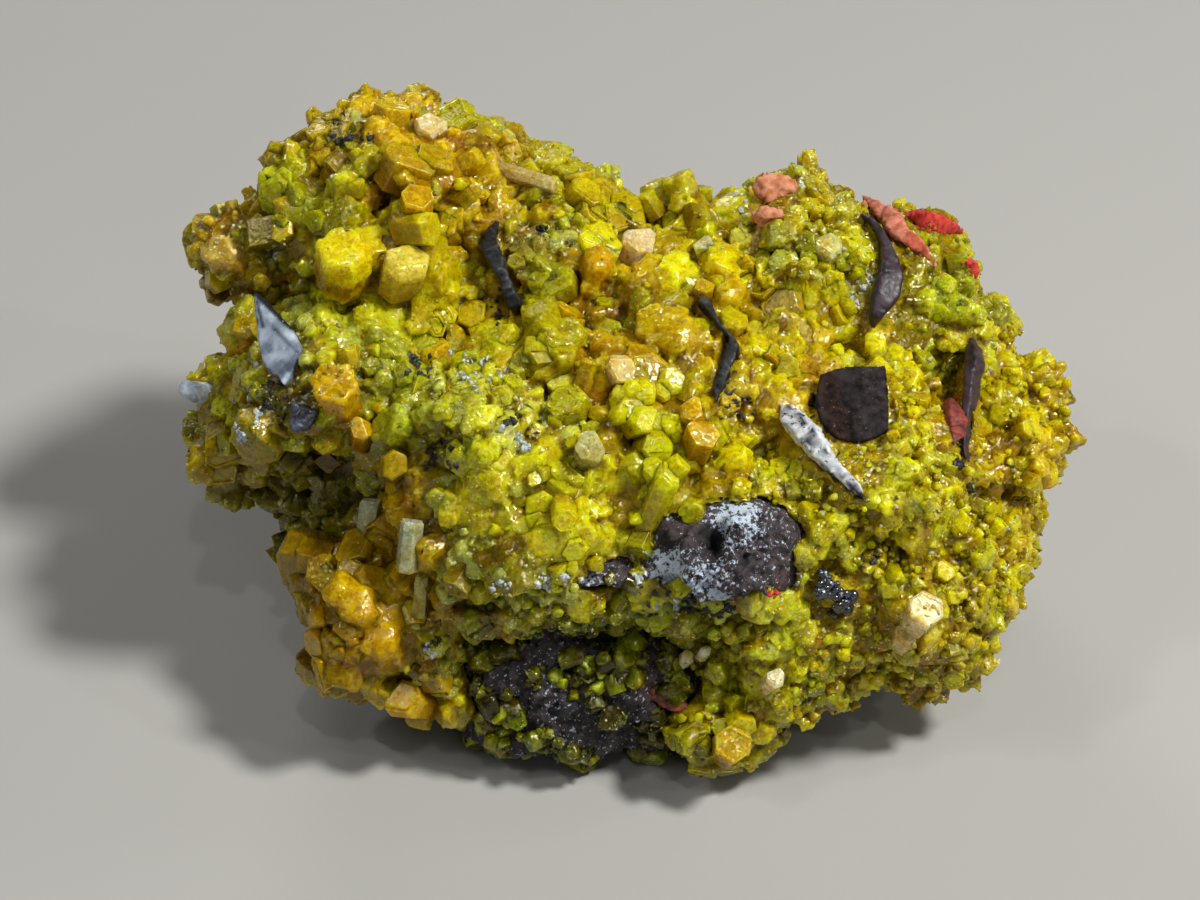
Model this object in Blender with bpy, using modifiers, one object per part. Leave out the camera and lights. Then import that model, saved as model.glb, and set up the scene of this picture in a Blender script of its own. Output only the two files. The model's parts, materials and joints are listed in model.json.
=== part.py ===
"""A hand-sized mimetite cluster: a crust of intergrown mimetite crystals on a piece of dark oxide rock,
with the blades, chips and ochre that are caught in the crust as pieces of their own.

Metres, +Z up, +X to the right, +Y to the back. The origin is on the rock's flat broken base."""

import math
import random

import bmesh
import bpy
from mathutils import Matrix, Vector
from mathutils.bvhtree import BVHTree

MM = 0.001

# ---- driving dimensions, in mm -------------------------------------------------------------------------
GAP = 0.3                # clearance between a piece and its pocket
CRUST_FACES = 1900       # triangles of the crust before its crystals are joined on
ROCK_FACES = 700
VOXEL = 0.9              # cell size that fuses the lobes
CRYSTALS = 136           # the standing crystals are among them
CRYSTAL_RADIUS = (1.3, 2.4)
CRYSTAL_SPACING = 4.7
CRYSTAL_KEEP_OFF = 2.6   # from the blades and chips
CRYSTAL_LOWEST = 3.2     # no crystal starts below this height, so none reaches the ground
SEED = 7

# The crust's prominent crystals: foot on the skin, radius, height over the skin, and the way its axis points.
STANDING_CRYSTALS = [
    ((1.0, 9.5, 44.1), 2.3, 1.2, (-0.25, -0.6, 0.75)),
    ((-9.6, 12.3, 48.4), 1.2, 2.9, (0.93, -0.1, 0.15)),
    ((-21.1, -16.8, 28.6), 1.4, 2.5, (0.15, -0.55, 0.85)),
    ((-28.3, -9.2, 39.8), 2.4, 1.5, (-0.1, -0.5, 0.85)),
    ((-3.0, 5.1, 44.7), 1.8, 1.3, (0.3, -0.4, 0.85)),
    ((9.8, 3.9, 42.3), 2.2, 1.4, (0.1, -0.5, 0.85)),
    ((28.3, -22.4, 23.0), 2.0, 1.2, (-0.1, -0.75, 0.65)),
    ((-27.8, 3.2, 47.5), 2.4, 1.7, (-0.25, -0.6, 0.75)),
    ((-21.5, 3.2, 46.9), 2.3, 1.5, (0.1, -0.6, 0.8)),
    ((-20.6, 6.8, 50.9), 2.0, 1.7, (0.3, -0.4, 0.85)),
    ((-0.9, -8.4, 41.2), 1.7, 1.0, (-0.2, -0.5, 0.85)),
    ((-3.9, -15.6, 37.5), 1.6, 1.0, (-0.1, -0.7, 0.7)),
    ((3.4, -17.1, 35.1), 2.2, 1.3, (0.2, -0.8, 0.6)),
    ((7.0, -13.4, 37.6), 2.0, 1.3, (0.1, -0.5, 0.85)),
    ((-22.2, -20.6, 9.9), 1.9, 1.3, (-0.3, -0.9, 0.2)),
    ((-27.2, -18.8, 21.4), 2.6, 1.4, (-0.2, -0.8, 0.55)),
    ((-14.9, 14.9, 52.3), 2.0, 1.3, (0.35, -0.2, 0.9)),
    ((-6.8, -20.4, 32.3), 2.2, 1.3, (0.1, -0.8, 0.6)),
    ((28.1, -1.1, 35.6), 2.0, 1.3, (0.1, -0.75, 0.65)),
    ((36.9, -9.3, 32.0), 2.1, 1.2, (0.3, -0.5, 0.8)),
    ((14.9, -24.4, 13.1), 2.0, 1.0, (0.1, -0.95, 0.2)),
    ((18.2, -22.4, 19.2), 2.1, 1.2, (0.3, -0.75, 0.6)),
    ((-5.9, -3.4, 42.1), 2.1, 1.3, (0.1, -0.4, 0.9)),
    ((0.9, 0.7, 42.7), 2.0, 1.4, (-0.1, -0.4, 0.9)),
    ((-38.9, -6.1, 30.7), 2.0, 1.2, (-0.4, -0.8, 0.45)),
    ((-41.2, 10.9, 42.2), 1.8, 1.3, (-0.4, -0.6, 0.7)),
]

# The crust's lobes: centre and radii.
CRUST_LOBES = {
    "core": ((0, 4, 24), (34, 24, 19)),
    "hill": ((-22, 15.5, 43), (14, 13, 10.5)),
    "hill_shoulder": ((-31, 15, 42.5), (7, 9, 8.5)),
    "left_spur": ((-38, 13.5, 39.8), (6, 6, 4.2)),
    "upper_middle": ((-9, 13, 40.5), (9.5, 12, 8)),
    "saddle": ((2, 10, 35), (10, 12, 6.5)),
    "small_dome": ((6.5, 13.5, 42), (3.6, 6, 5)),
    "right_top": ((16.5, 13, 39), (9.5, 12, 8)),
    "top_right": ((27.5, 11, 35.5), (9, 12, 8.5)),
    "right_edge": ((33, 8, 30.5), (6, 9, 8)),
    "right_bulge": ((37.3, 1, 26.5), (6.8, 11, 8.5)),
    "right_low": ((34.5, -5, 18), (7.5, 10, 7.5)),
    "lower_right": ((26.5, -13, 18.5), (12.5, 10, 9.5)),
    "lower_right_foot": ((29, -13.5, 12), (8.5, 7, 6)),
    "front_foot": ((15, -16.5, 14.5), (10.5, 8, 8.5)),
    "front_tip": ((9.2, -21.2, 6.8), (5.8, 5.2, 4.3)),
    "bottom_left": ((-19.2, -16.5, 9.8), (5, 5.5, 5.4)),
    "lower_left": ((-24.5, -14, 16.2), (8.2, 8.5, 7)),
    "left_lobe": ((-37.3, 2, 27), (7, 10, 8.5)),
    "left_under": ((-28.5, 4, 15), (8, 12, 10)),
    "left_middle": ((-29, -2, 33), (10.5, 11, 9)),
    "centre_left": ((-14, -9, 33), (12, 10, 9)),
    "centre_low": ((-9, -15, 25), (12, 9, 10)),
    "centre": ((1, -6, 32.5), (12, 12, 9)),
    "belly": ((8, -15, 25), (12, 9, 10)),
    "right_front": ((22.5, -9, 28.5), (12, 11, 10)),
    "back_left": ((-22, 21, 25), (15, 13, 17)),
    "back_middle": ((0, 24, 20), (18, 10, 15)),
    "back_right": ((22, 19, 20), (15, 13, 14)),
}

# The rock's lobes. Those called window and outcrop reach through the crust.
ROCK_LOBES = {
    "heart": ((0, 3, 20), (28, 18, 15)),
    "base": ((1, -0.5, 6), (28, 19.5, 11)),
    "base_back": ((-6, 15, 7), (19, 12, 10)),
    "front_outcrop": ((-5, -14.8, 9), (15, 8.4, 9.8)),
    "front_window": ((9, -17.6, 27.5), (8.0, 6.8, 5.4)),
    "front_window_tail": ((-3.5, -17.5, 26.3), (5.4, 6, 1.9)),
    "back_window": ((12, 27, 21), (8, 8.4, 6)),
    "left_back_window": ((-33, 20, 20), (7, 8, 5)),
}

# Plates and blades: outline in the plate's own plane, thickness, centre, and the directions that the outline's
# x and y run in. mouth is how far the pocket stays open above the plate's face.
PLATES = {
    "grey_plate": dict(
        outline=[(-2.4, 5.0), (-0.4, 3.2), (2.2, -0.6), (1.6, -4.4), (-0.6, -5.2), (-2.0, -2.2)], thickness=1.3,
        centre=(-34.0, -4.6, 41.8), x_runs=(1, 0, 0.1), y_runs=(-0.1, 0.75, 0.66), mouth=0.0),
    "black_blade_upper": dict(
        outline=[(-4.0, 4.2), (0.4, 4.9), (1.5, 2.6), (1.1, 0.2), (1.6, -2.6), (0.6, -4.9), (-4.0, -4.2)],
        thickness=1.2,
        centre=(-12.7, 3.4, 44.9), x_runs=(-0.1, -0.62, 0.78), y_runs=(-0.32, 0.69, 0.65), mouth=0.0),
    "black_blade_centre": dict(
        outline=[(-4.5, 5.4), (0.2, 6.2), (1.6, 3.6), (3.0, 0.6), (1.9, -2.2), (1.2, -5.6), (-4.5, -4.6)],
        thickness=1.2,
        centre=(7.0, -4.3, 40.6), x_runs=(0.75, -0.2, 0.63), y_runs=(-0.1, 0.96, 0.26), mouth=0.0),
    "purple_blade": dict(
        outline=[(-1.5, 6.0), (0.3, 4.0), (2.0, 1.0), (2.1, -2.0), (0.2, -5.6), (-1.4, -5.8), (-1.6, -1.0)],
        thickness=1.4,
        centre=(25.2, 6.6, 43.0), x_runs=(0.93, 0.15, -0.2), y_runs=(0.0, 0.88, 0.42), mouth=0.0),
    "dark_block": dict(
        outline=[(-3.5, 3.3), (-0.4, 3.9), (3.5, 3.5), (3.8, -1.0), (2.0, -3.7), (-1.4, -3.5), (-3.7, -1.0)],
        thickness=4.0,
        centre=(21.3, -8.6, 35.2), x_runs=(1, 0, 0), y_runs=(0, 0.84, 0.54), mouth=7.0),
    "white_vein": dict(
        outline=[(-0.9, 5.6), (0.9, 5.2), (1.2, 1.6), (0.7, -2.6), (0.5, -5.8), (-0.6, -5.8), (-0.9, -1.0)],
        thickness=2.4,
        centre=(17.9, -14.0, 35.4), x_runs=(0.74, 0.62, 0.2), y_runs=(-0.59, 0.75, 0.29), mouth=5.0),
    "brown_blade": dict(
        outline=[(-3.6, 6.6), (0.3, 7.2), (1.5, 4.0), (1.2, 0.4), (1.6, -3.6), (0.4, -7.0), (-3.6, -6.2)],
        thickness=1.3,
        centre=(33.4, -5.0, 34.8), x_runs=(0.42, -0.25, 0.87), y_runs=(0.1, 0.96, 0.27), mouth=0.0),
    "red_slab": dict(
        outline=[(-3.0, 2.2), (1.1, 2.4), (1.3, 0.2), (1.0, -2.4), (-3.0, -2.0)],
        thickness=1.5,
        centre=(31.2, -8.8, 34.2), x_runs=(0.3, -0.35, 0.88), y_runs=(0.1, 0.93, 0.35), mouth=0.0),
    "blue_shard": dict(
        outline=[(-1.5, 1.0), (1.3, 1.1), (1.1, -0.8), (-0.6, -1.6)],
        thickness=1.2,
        centre=(-31.4, -11.4, 37.6), x_runs=(0.9, -0.3, -0.2), y_runs=(0.2, 0.6, 0.75), mouth=0.0),
}

# Rounded pieces: radii along, across and up, centre, and the directions of its length and of its top.
LUMPS = {
    "pink_ochre": dict(radii=(2.3, 1.5, 1.4), centre=(14.8, 14.4, 47.4), along=(1, 0.1, 0.1), top=(-0.2, 0.05, 0.98)),
    "pink_ochre_chip": dict(radii=(1.6, 1.0, 1.2), centre=(13.8, 9.6, 47.0), along=(1, 0, 0.2), top=(-0.2, -0.2, 0.95)),
    "ochre_streak": dict(radii=(3.6, 1.3, 1.3), centre=(27.6, 10.6, 44.2), along=(0.62, -0.72, -0.3), top=(0, 0, 1)),
    "red_ochre": dict(radii=(2.9, 1.5, 1.4), centre=(31.0, 14.0, 43.4), along=(0.9, 0.1, -0.3), top=(0.4, 0.1, 0.9)),
    "red_ochre_speck": dict(radii=(1.3, 0.9, 1.1), centre=(34.3, 8.8, 41.0), along=(0.5, -0.8, 0), top=(0.7, -0.1, 0.7)),
    "rust_chip": dict(radii=(3.2, 0.9, 1.3), centre=(3.2, -21.2, 10.4), along=(0.85, -0.1, -0.52), top=(0, -0.95, 0.3)),
    "black_botryoid": dict(radii=(2.5, 2.1, 1.7), centre=(19.4, -20.2, 23.4), along=(0.7, -0.1, -0.7), top=(-0.2, -0.85, 0.5)),
    "pale_knob": dict(radii=(2.3, 1.1, 1.1), centre=(-43.2, 0.8, 31.4), along=(-0.9, -0.1, 0.4), top=(-0.4, 0, 0.9)),
}

FINISHES = {  # base colour (linear), roughness, metallic
    "mimetite": ((0.52, 0.38, 0.02), 0.3, 0.0),
    "oxide_rock": ((0.035, 0.028, 0.028), 0.75, 0.0),
    "black_oxide": ((0.012, 0.011, 0.013), 0.45, 0.0),
    "grey_plate": ((0.22, 0.24, 0.27), 0.5, 0.0),
    "purple_oxide": ((0.05, 0.025, 0.035), 0.5, 0.0),
    "brown_oxide": ((0.09, 0.05, 0.04), 0.6, 0.0),
    "white_vein": ((0.72, 0.72, 0.68), 0.6, 0.0),
    "red_ochre": ((0.36, 0.045, 0.03), 0.85, 0.0),
    "pink_ochre": ((0.55, 0.24, 0.15), 0.85, 0.0),
}
FINISH_OF = {
    "mimetite_crust": "mimetite", "oxide_rock": "oxide_rock", "grey_plate": "grey_plate",
    "black_blade_upper": "black_oxide", "black_blade_centre": "black_oxide", "purple_blade": "purple_oxide",
    "dark_block": "oxide_rock", "white_vein": "white_vein", "brown_blade": "brown_oxide", "red_slab": "red_ochre",
    "blue_shard": "black_oxide", "pink_ochre": "pink_ochre", "pink_ochre_chip": "pink_ochre",
    "ochre_streak": "pink_ochre", "red_ochre": "red_ochre", "red_ochre_speck": "red_ochre",
    "rust_chip": "brown_oxide", "black_botryoid": "black_oxide", "pale_knob": "white_vein",
}


# ---- helpers -------------------------------------------------------------------------------------------
def clear_scene():
    for obj in list(bpy.data.objects):
        bpy.data.objects.remove(obj, do_unlink=True)


def new_collection(name):
    made = bpy.data.collections.new(name)
    bpy.context.scene.collection.children.link(made)
    return made


def finish(name):
    colour, roughness, metallic = FINISHES[name]
    made = bpy.data.materials.get(name) or bpy.data.materials.new(name)
    made.use_nodes = True
    shader = made.node_tree.nodes["Principled BSDF"]
    shader.inputs["Base Color"].default_value = (*colour, 1.0)
    shader.inputs["Roughness"].default_value = roughness
    shader.inputs["Metallic"].default_value = metallic
    return made


def add_object(name, data, collection, cutter=False):
    obj = bpy.data.objects.new(name, data)
    collection.objects.link(obj)
    if cutter:
        obj.hide_render = True
        obj.display_type = "WIRE"
    elif name in FINISH_OF:
        data.materials.clear()
        data.materials.append(finish(FINISH_OF[name]))
    return obj


def evaluated_mesh(obj, name):
    """The object's mesh with its modifiers applied, in world space, with loose caps welded."""
    bpy.context.view_layer.update()
    graph = bpy.context.evaluated_depsgraph_get()
    mesh = bpy.data.meshes.new_from_object(obj.evaluated_get(graph))
    mesh.name = name
    mesh.transform(obj.matrix_world)
    bm = bmesh.new()
    bm.from_mesh(mesh)
    bmesh.ops.remove_doubles(bm, verts=bm.verts, dist=0.01 * MM)
    bm.to_mesh(mesh)
    bm.free()
    return mesh


def keep_largest_body(mesh):
    """Removes the loose crumbs that a cut leaves beside the main body, even those that touch it at a point."""
    bm = bmesh.new()
    bm.from_mesh(mesh)
    unseen = set(bm.faces)
    bodies = []
    while unseen:
        body, front = set(), [next(iter(unseen))]
        while front:
            face = front.pop()
            if face in unseen:
                unseen.discard(face)
                body.add(face)
                whole = [edge for edge in face.edges if len(edge.link_faces) == 2]
                front += [near for edge in whole for near in edge.link_faces if near in unseen]
        bodies.append(body)
    bodies.sort(key=len)
    crumbs = [face for body in bodies[:-1] for face in body]
    bmesh.ops.delete(bm, geom=crumbs, context="FACES")
    bm.to_mesh(mesh)
    bm.free()
    return mesh


def axes_matrix(x_dir, y_dir, centre):
    """Places local x along x_dir, y as near y_dir as a right angle allows, and z across both."""
    x = Vector(x_dir).normalized()
    y = Vector(y_dir)
    y = (y - x * y.dot(x)).normalized()
    z = x.cross(y)
    turn = Matrix((x, y, z)).transposed().to_4x4()
    return Matrix.Translation(Vector(centre) * MM) @ turn


def clouds(name, size):
    made = bpy.data.textures.new(name, "CLOUDS")
    made.noise_scale = size * MM
    made.noise_depth = 1
    return made


def displace(obj, name, strength, texture=None, middle=0.0):
    made = obj.modifiers.new(name, "DISPLACE")
    made.strength = strength * MM
    made.mid_level = middle
    if texture:
        made.texture = texture
        made.texture_coords = "LOCAL"


def boolean(obj, name, operation, collection):
    made = obj.modifiers.new(name, "BOOLEAN")
    made.operation = operation
    made.operand_type = "COLLECTION"
    made.collection = collection
    made.solver = "EXACT"
    return made


# ---- bodies ----------------------------------------------------------------------------------------------
def lobed_body(name, lobes, faces, roughness, collection):
    """Lobes roughened by clouds of noise, fused into one closed skin and thinned to about this many faces."""
    bm = bmesh.new()
    for centre, radii in lobes.values():
        place = Matrix.Translation(Vector(centre) * MM) @ Matrix.Diagonal((*[r * MM for r in radii], 1.0))
        bmesh.ops.create_icosphere(bm, subdivisions=5, radius=1.0, matrix=place)
    rough = bpy.data.meshes.new(name + "_lobes")
    bm.to_mesh(rough)
    bm.free()
    obj = add_object(name, rough, collection)
    for number, (size, strength) in enumerate(roughness):
        displace(obj, f"roughen_{number}", strength, clouds(f"{name}_clouds_{number}", size), 0.5)
    fuse = obj.modifiers.new("fuse", "REMESH")
    fuse.mode = "VOXEL"
    fuse.voxel_size = VOXEL * MM
    soften = obj.modifiers.new("soften", "SMOOTH")
    soften.iterations = 2
    fused = len(evaluated_mesh(obj, "count").polygons)
    thin = obj.modifiers.new("thin", "DECIMATE")
    thin.ratio = faces / (2 * fused)
    mesh = keep_largest_body(evaluated_mesh(obj, name))
    bpy.data.objects.remove(obj)
    return mesh


def make_plate(name, plan, collection):
    curve = bpy.data.curves.new(name, "CURVE")
    curve.dimensions = "2D"
    curve.fill_mode = "BOTH"
    curve.extrude = plan["thickness"] / 2 * MM
    spline = curve.splines.new("POLY")
    spline.points.add(len(plan["outline"]) - 1)
    for point, (x, y) in zip(spline.points, plan["outline"]):
        point.co = (x * MM, y * MM, 0, 1)
    spline.use_cyclic_u = True
    obj = add_object(name, curve, collection)
    obj.matrix_world = axes_matrix(plan["x_runs"], plan["y_runs"], plan["centre"])
    return obj


def make_lump(name, plan, collection):
    along, top = Vector(plan["along"]).normalized(), Vector(plan["top"])
    across = top.cross(along)
    bm = bmesh.new()
    bmesh.ops.create_icosphere(bm, subdivisions=2, radius=1.0)
    bmesh.ops.scale(bm, vec=[r * MM for r in plan["radii"]], verts=bm.verts)
    mesh = bpy.data.meshes.new(name)
    bm.to_mesh(mesh)
    bm.free()
    obj = add_object(name, mesh, collection)
    obj.matrix_world = axes_matrix(along, across, plan["centre"])
    displace(obj, "roughen", 0.9, clouds(name + "_clouds", 1.6), 0.5)
    return obj


def grow(mesh, distance):
    """Moves every face out by the same distance, so that sharp corners move further than the faces do."""
    bm = bmesh.new()
    bm.from_mesh(mesh)
    steps = [vert.normal * min(vert.calc_shell_factor(), 3.0) * distance * MM for vert in bm.verts]
    for vert, step in zip(bm.verts, steps):
        vert.co += step
    bm.to_mesh(mesh)
    bm.free()


def make_pocket(piece, collection, mouth=0.0):
    """A cutter that is the piece grown by the gap, and open above its face as far as mouth says."""
    mesh = evaluated_mesh(piece, piece.name + "_pocket")
    grow(mesh, GAP)
    if mouth:
        face = piece.matrix_world.to_3x3().col[2].normalized()
        for vert in mesh.vertices:
            if (vert.co - piece.matrix_world.translation).dot(face) > 0:
                vert.co += face * mouth * MM
    return add_object(mesh.name, mesh, collection, True)


def add_crystal(foot, radius, height, axis, taper, spin, number, collection):
    """A six-sided prism, rooted half its radius below its foot."""
    axis = Vector(axis).normalized()
    root = 0.5 * radius
    bm = bmesh.new()
    bmesh.ops.create_cone(bm, cap_ends=True, segments=6, radius1=radius * MM, radius2=radius * taper * MM,
                          depth=(height + root) * MM)
    mesh = bpy.data.meshes.new("crystal")
    bm.to_mesh(mesh)
    bm.free()
    crystal = add_object(f"crystal_{number:03d}", mesh, collection, True)
    turn = axis.to_track_quat("Z", "Y").to_matrix().to_4x4() @ Matrix.Rotation(spin, 4, "Z")
    crystal.matrix_world = Matrix.Translation(foot + axis * (height - root) / 2 * MM) @ turn


def add_crystals(skin, keep_off, collection):
    """The standing crystals first, then others spread over the skin, each leaning a little off its normal."""
    rng = random.Random(SEED)
    areas = [face.area for face in skin.polygons]
    feet = []
    for foot, radius, height, axis in STANDING_CRYSTALS:
        foot = Vector(foot) * MM
        add_crystal(foot, radius, height, axis, 0.93, rng.uniform(0, math.pi), len(feet), collection)
        feet.append(foot)
    for _ in range(40000):
        face = rng.choices(skin.polygons, weights=areas)[0]
        foot = Vector(face.center)
        radius = rng.uniform(*CRYSTAL_RADIUS)
        lean = Vector([rng.gauss(0, 0.35) for _ in range(3)])
        axis = (Vector(face.normal) + lean).normalized()
        near_piece = any(tree.find_nearest(foot)[3] < (CRYSTAL_KEEP_OFF + radius) * MM for tree in keep_off)
        crowded = any((foot - other).length < CRYSTAL_SPACING * MM for other in feet)
        too_low = min(foot.z, (foot + axis * 2 * radius * MM).z) < CRYSTAL_LOWEST * MM
        if near_piece or crowded or too_low:
            continue
        height = radius * rng.uniform(0.5, 1.0)
        taper, spin = rng.uniform(0.82, 0.98), rng.uniform(0, math.pi)
        add_crystal(foot, radius, height, axis, taper, spin, len(feet), collection)
        feet.append(foot)
        if len(feet) == CRYSTALS:
            return


def tree_of(mesh):
    bm = bmesh.new()
    bm.from_mesh(mesh)
    tree = BVHTree.FromBMesh(bm)
    bm.free()
    return tree


def cut_body(name, mesh, joined, cutters, collection):
    obj = add_object(name, mesh, collection)
    if joined:
        boolean(obj, "join_crystals", "UNION", joined)
    boolean(obj, "cut_pockets", "DIFFERENCE", cutters)
    cut = keep_largest_body(evaluated_mesh(obj, name))
    bpy.data.objects.remove(obj)
    return add_object(name, cut, collection)


def main():
    clear_scene()
    cluster = new_collection("mimetite_cluster")
    pockets = new_collection("pockets")
    rock_cutters = new_collection("rock_cutters")
    crystals = new_collection("crystals")

    pieces = [make_plate(name, plan, cluster) for name, plan in PLATES.items()]
    pieces += [make_lump(name, plan, cluster) for name, plan in LUMPS.items()]
    for piece in pieces:
        make_pocket(piece, pockets, PLATES.get(piece.name, {}).get("mouth", 0.0))

    rock = lobed_body("oxide_rock", ROCK_LOBES, ROCK_FACES, [(7.0, 2.6)], cluster)
    rock_pocket = rock.copy()
    grow(rock_pocket, GAP)
    add_object("oxide_rock_pocket", rock_pocket, pockets, True)

    bm = bmesh.new()
    bmesh.ops.create_cube(bm, size=1.0, matrix=Matrix.Translation((0, 0, -0.03)) @ Matrix.Diagonal((0.12, 0.12, 0.06, 1)))
    ground = bpy.data.meshes.new("ground")
    bm.to_mesh(ground)
    bm.free()
    add_object("ground_cutter", ground, rock_cutters, True)
    for piece in pieces:
        rock_cutters.objects.link(bpy.data.objects[piece.name + "_pocket"])
    cut_body("oxide_rock", rock, None, rock_cutters, cluster)

    skin = lobed_body("crust_skin", CRUST_LOBES, CRUST_FACES, [(8.0, 2.8), (3.0, 1.4)], cluster)
    keep_off = [tree_of(evaluated_mesh(piece, "near")) for piece in pieces]
    keep_off.append(tree_of(evaluated_mesh(bpy.data.objects["oxide_rock"], "near")))
    add_crystals(skin, keep_off, crystals)
    cut_body("mimetite_crust", skin, crystals, pockets, cluster)


main()
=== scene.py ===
import json
import math

import bmesh
import bpy
import numpy as np
from mathutils import Matrix, Vector, noise
from mathutils.bvhtree import BVHTree

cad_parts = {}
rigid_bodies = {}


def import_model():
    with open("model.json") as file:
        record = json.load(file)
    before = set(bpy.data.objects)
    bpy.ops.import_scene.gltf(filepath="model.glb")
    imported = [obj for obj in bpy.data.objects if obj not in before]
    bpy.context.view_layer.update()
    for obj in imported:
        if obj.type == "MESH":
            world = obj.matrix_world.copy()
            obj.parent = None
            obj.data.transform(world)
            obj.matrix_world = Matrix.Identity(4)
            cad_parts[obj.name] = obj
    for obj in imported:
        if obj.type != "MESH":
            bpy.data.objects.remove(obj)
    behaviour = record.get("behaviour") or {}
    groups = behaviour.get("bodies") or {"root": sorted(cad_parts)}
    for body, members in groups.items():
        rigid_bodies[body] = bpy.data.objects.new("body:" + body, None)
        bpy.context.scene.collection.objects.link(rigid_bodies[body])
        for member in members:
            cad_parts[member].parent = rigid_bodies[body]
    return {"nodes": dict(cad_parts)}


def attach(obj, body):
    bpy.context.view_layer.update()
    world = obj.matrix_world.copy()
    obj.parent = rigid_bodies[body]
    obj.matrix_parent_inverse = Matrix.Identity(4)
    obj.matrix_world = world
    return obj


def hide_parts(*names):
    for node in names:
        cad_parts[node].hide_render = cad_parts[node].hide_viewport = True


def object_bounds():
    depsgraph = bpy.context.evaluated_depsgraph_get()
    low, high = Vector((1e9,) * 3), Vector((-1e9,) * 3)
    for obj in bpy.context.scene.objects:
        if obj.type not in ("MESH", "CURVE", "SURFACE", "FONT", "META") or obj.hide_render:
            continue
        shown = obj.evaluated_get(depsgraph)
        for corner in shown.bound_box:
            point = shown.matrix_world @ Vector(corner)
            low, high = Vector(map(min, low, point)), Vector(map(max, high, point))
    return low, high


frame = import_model()
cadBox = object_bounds()
nodes = frame["nodes"]
mm = 0.001
print("frame loaded:", len(nodes), "nodes")


# ---- shared helpers ----

def linear(hexColour):  # sRGB hex to linear
    channels = [int(hexColour[i:i + 2], 16) / 255 for i in (1, 3, 5)]
    return [c / 12.92 if c <= 0.04045 else ((c + 0.055) / 1.055) ** 2.4 for c in channels]


def addNode(tree, kind, settings=None, links=None):  # settings go to sockets by name or number, others to the node
    node = tree.nodes.new(kind)
    for key, value in (settings or {}).items():
        if isinstance(key, int) or key in node.inputs:
            node.inputs[key].default_value = value
        else:
            setattr(node, key, value)
    for key, source in (links or {}).items():
        tree.links.new(source, node.inputs[key])
    return node


def newMaterial(name):
    made = bpy.data.materials.new(name)
    made.use_nodes = True
    made.node_tree.nodes.clear()
    return made, made.node_tree


def closeMaterial(tree, shader):
    addNode(tree, "ShaderNodeOutputMaterial", links={"Surface": shader.outputs[0]})


def unit(vectors):
    vectors = np.asarray(vectors, float)
    return vectors / np.maximum(np.linalg.norm(vectors, axis=-1, keepdims=True), 1e-12)


def treeOf(points, faces):
    return BVHTree.FromPolygons(points.tolist(), faces.tolist())


def meshArrays(obj):  # world points, triangles and smooth normals of an object with its modifiers
    depsgraph = bpy.context.evaluated_depsgraph_get()
    evaluated = obj.evaluated_get(depsgraph)
    mesh = evaluated.to_mesh()
    mesh.calc_loop_triangles()
    points = np.empty(len(mesh.vertices) * 3)
    mesh.vertices.foreach_get("co", points)
    faces = np.empty(len(mesh.loop_triangles) * 3, np.int64)
    mesh.loop_triangles.foreach_get("vertices", faces)
    normals = np.empty(len(mesh.vertices) * 3)
    mesh.vertices.foreach_get("normal", normals)
    evaluated.to_mesh_clear()
    return points.reshape(-1, 3), faces.reshape(-1, 3), normals.reshape(-1, 3)


def meshFromArrays(name, points, faces, tint=None, frost=None, faceted=True):
    mesh = bpy.data.meshes.new(name)
    mesh.vertices.add(len(points))
    mesh.vertices.foreach_set("co", np.asarray(points, np.float32).ravel())
    mesh.loops.add(len(faces) * 3)
    mesh.loops.foreach_set("vertex_index", np.asarray(faces, np.int32).ravel())
    mesh.polygons.add(len(faces))
    mesh.polygons.foreach_set("loop_start", np.arange(0, len(faces) * 3, 3, dtype=np.int32))
    mesh.polygons.foreach_set("use_smooth", np.ones(len(faces), bool))
    mesh.update(calc_edges=True)
    if faceted:  # each corner leans towards its largest face: flat faces stay flat and bevels look round
        a, b, c = (points[faces[:, i]] for i in range(3))
        cross = np.cross(b - a, c - a)
        pull = cross * np.linalg.norm(cross, axis=1, keepdims=True)
        normals = np.zeros_like(points)
        for i in range(3):
            np.add.at(normals, faces[:, i], pull)
        mesh.normals_split_custom_set_from_vertices(unit(normals * 1e12).astype(np.float32))
    if tint is not None:
        layer = mesh.color_attributes.new("tint", "FLOAT_COLOR", "POINT")
        layer.data.foreach_set("color", np.column_stack([tint, np.ones(len(tint))]).astype(np.float32).ravel())
    if frost is not None:
        layer = mesh.attributes.new("frost", "FLOAT", "POINT")
        layer.data.foreach_set("value", np.asarray(frost, np.float32))
    return mesh


def addPiece(name, mesh, material, slotName, *replaced):
    obj = bpy.data.objects.new(name, mesh)
    bpy.context.scene.collection.objects.link(obj)
    mesh.materials.append(material)
    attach(obj, "root")
    if replaced:
        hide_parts(*replaced)
    return obj


def fineCopy(nodeName, voxel, soften=1):  # a node's solid as an even fine skin: points, triangles, normals
    obj = bpy.data.objects.new(nodeName + "Work", nodes[nodeName].data.copy())
    bpy.context.scene.collection.objects.link(obj)
    weld = obj.modifiers.new("weld", "WELD")
    weld.merge_threshold = 0.01 * mm
    remesh = obj.modifiers.new("remesh", "REMESH")
    remesh.mode = "VOXEL"
    remesh.voxel_size = voxel * mm
    if soften:
        smooth = obj.modifiers.new("smooth", "SMOOTH")
        smooth.iterations = soften
    arrays = meshArrays(obj)
    bpy.data.objects.remove(obj)
    return arrays


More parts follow.
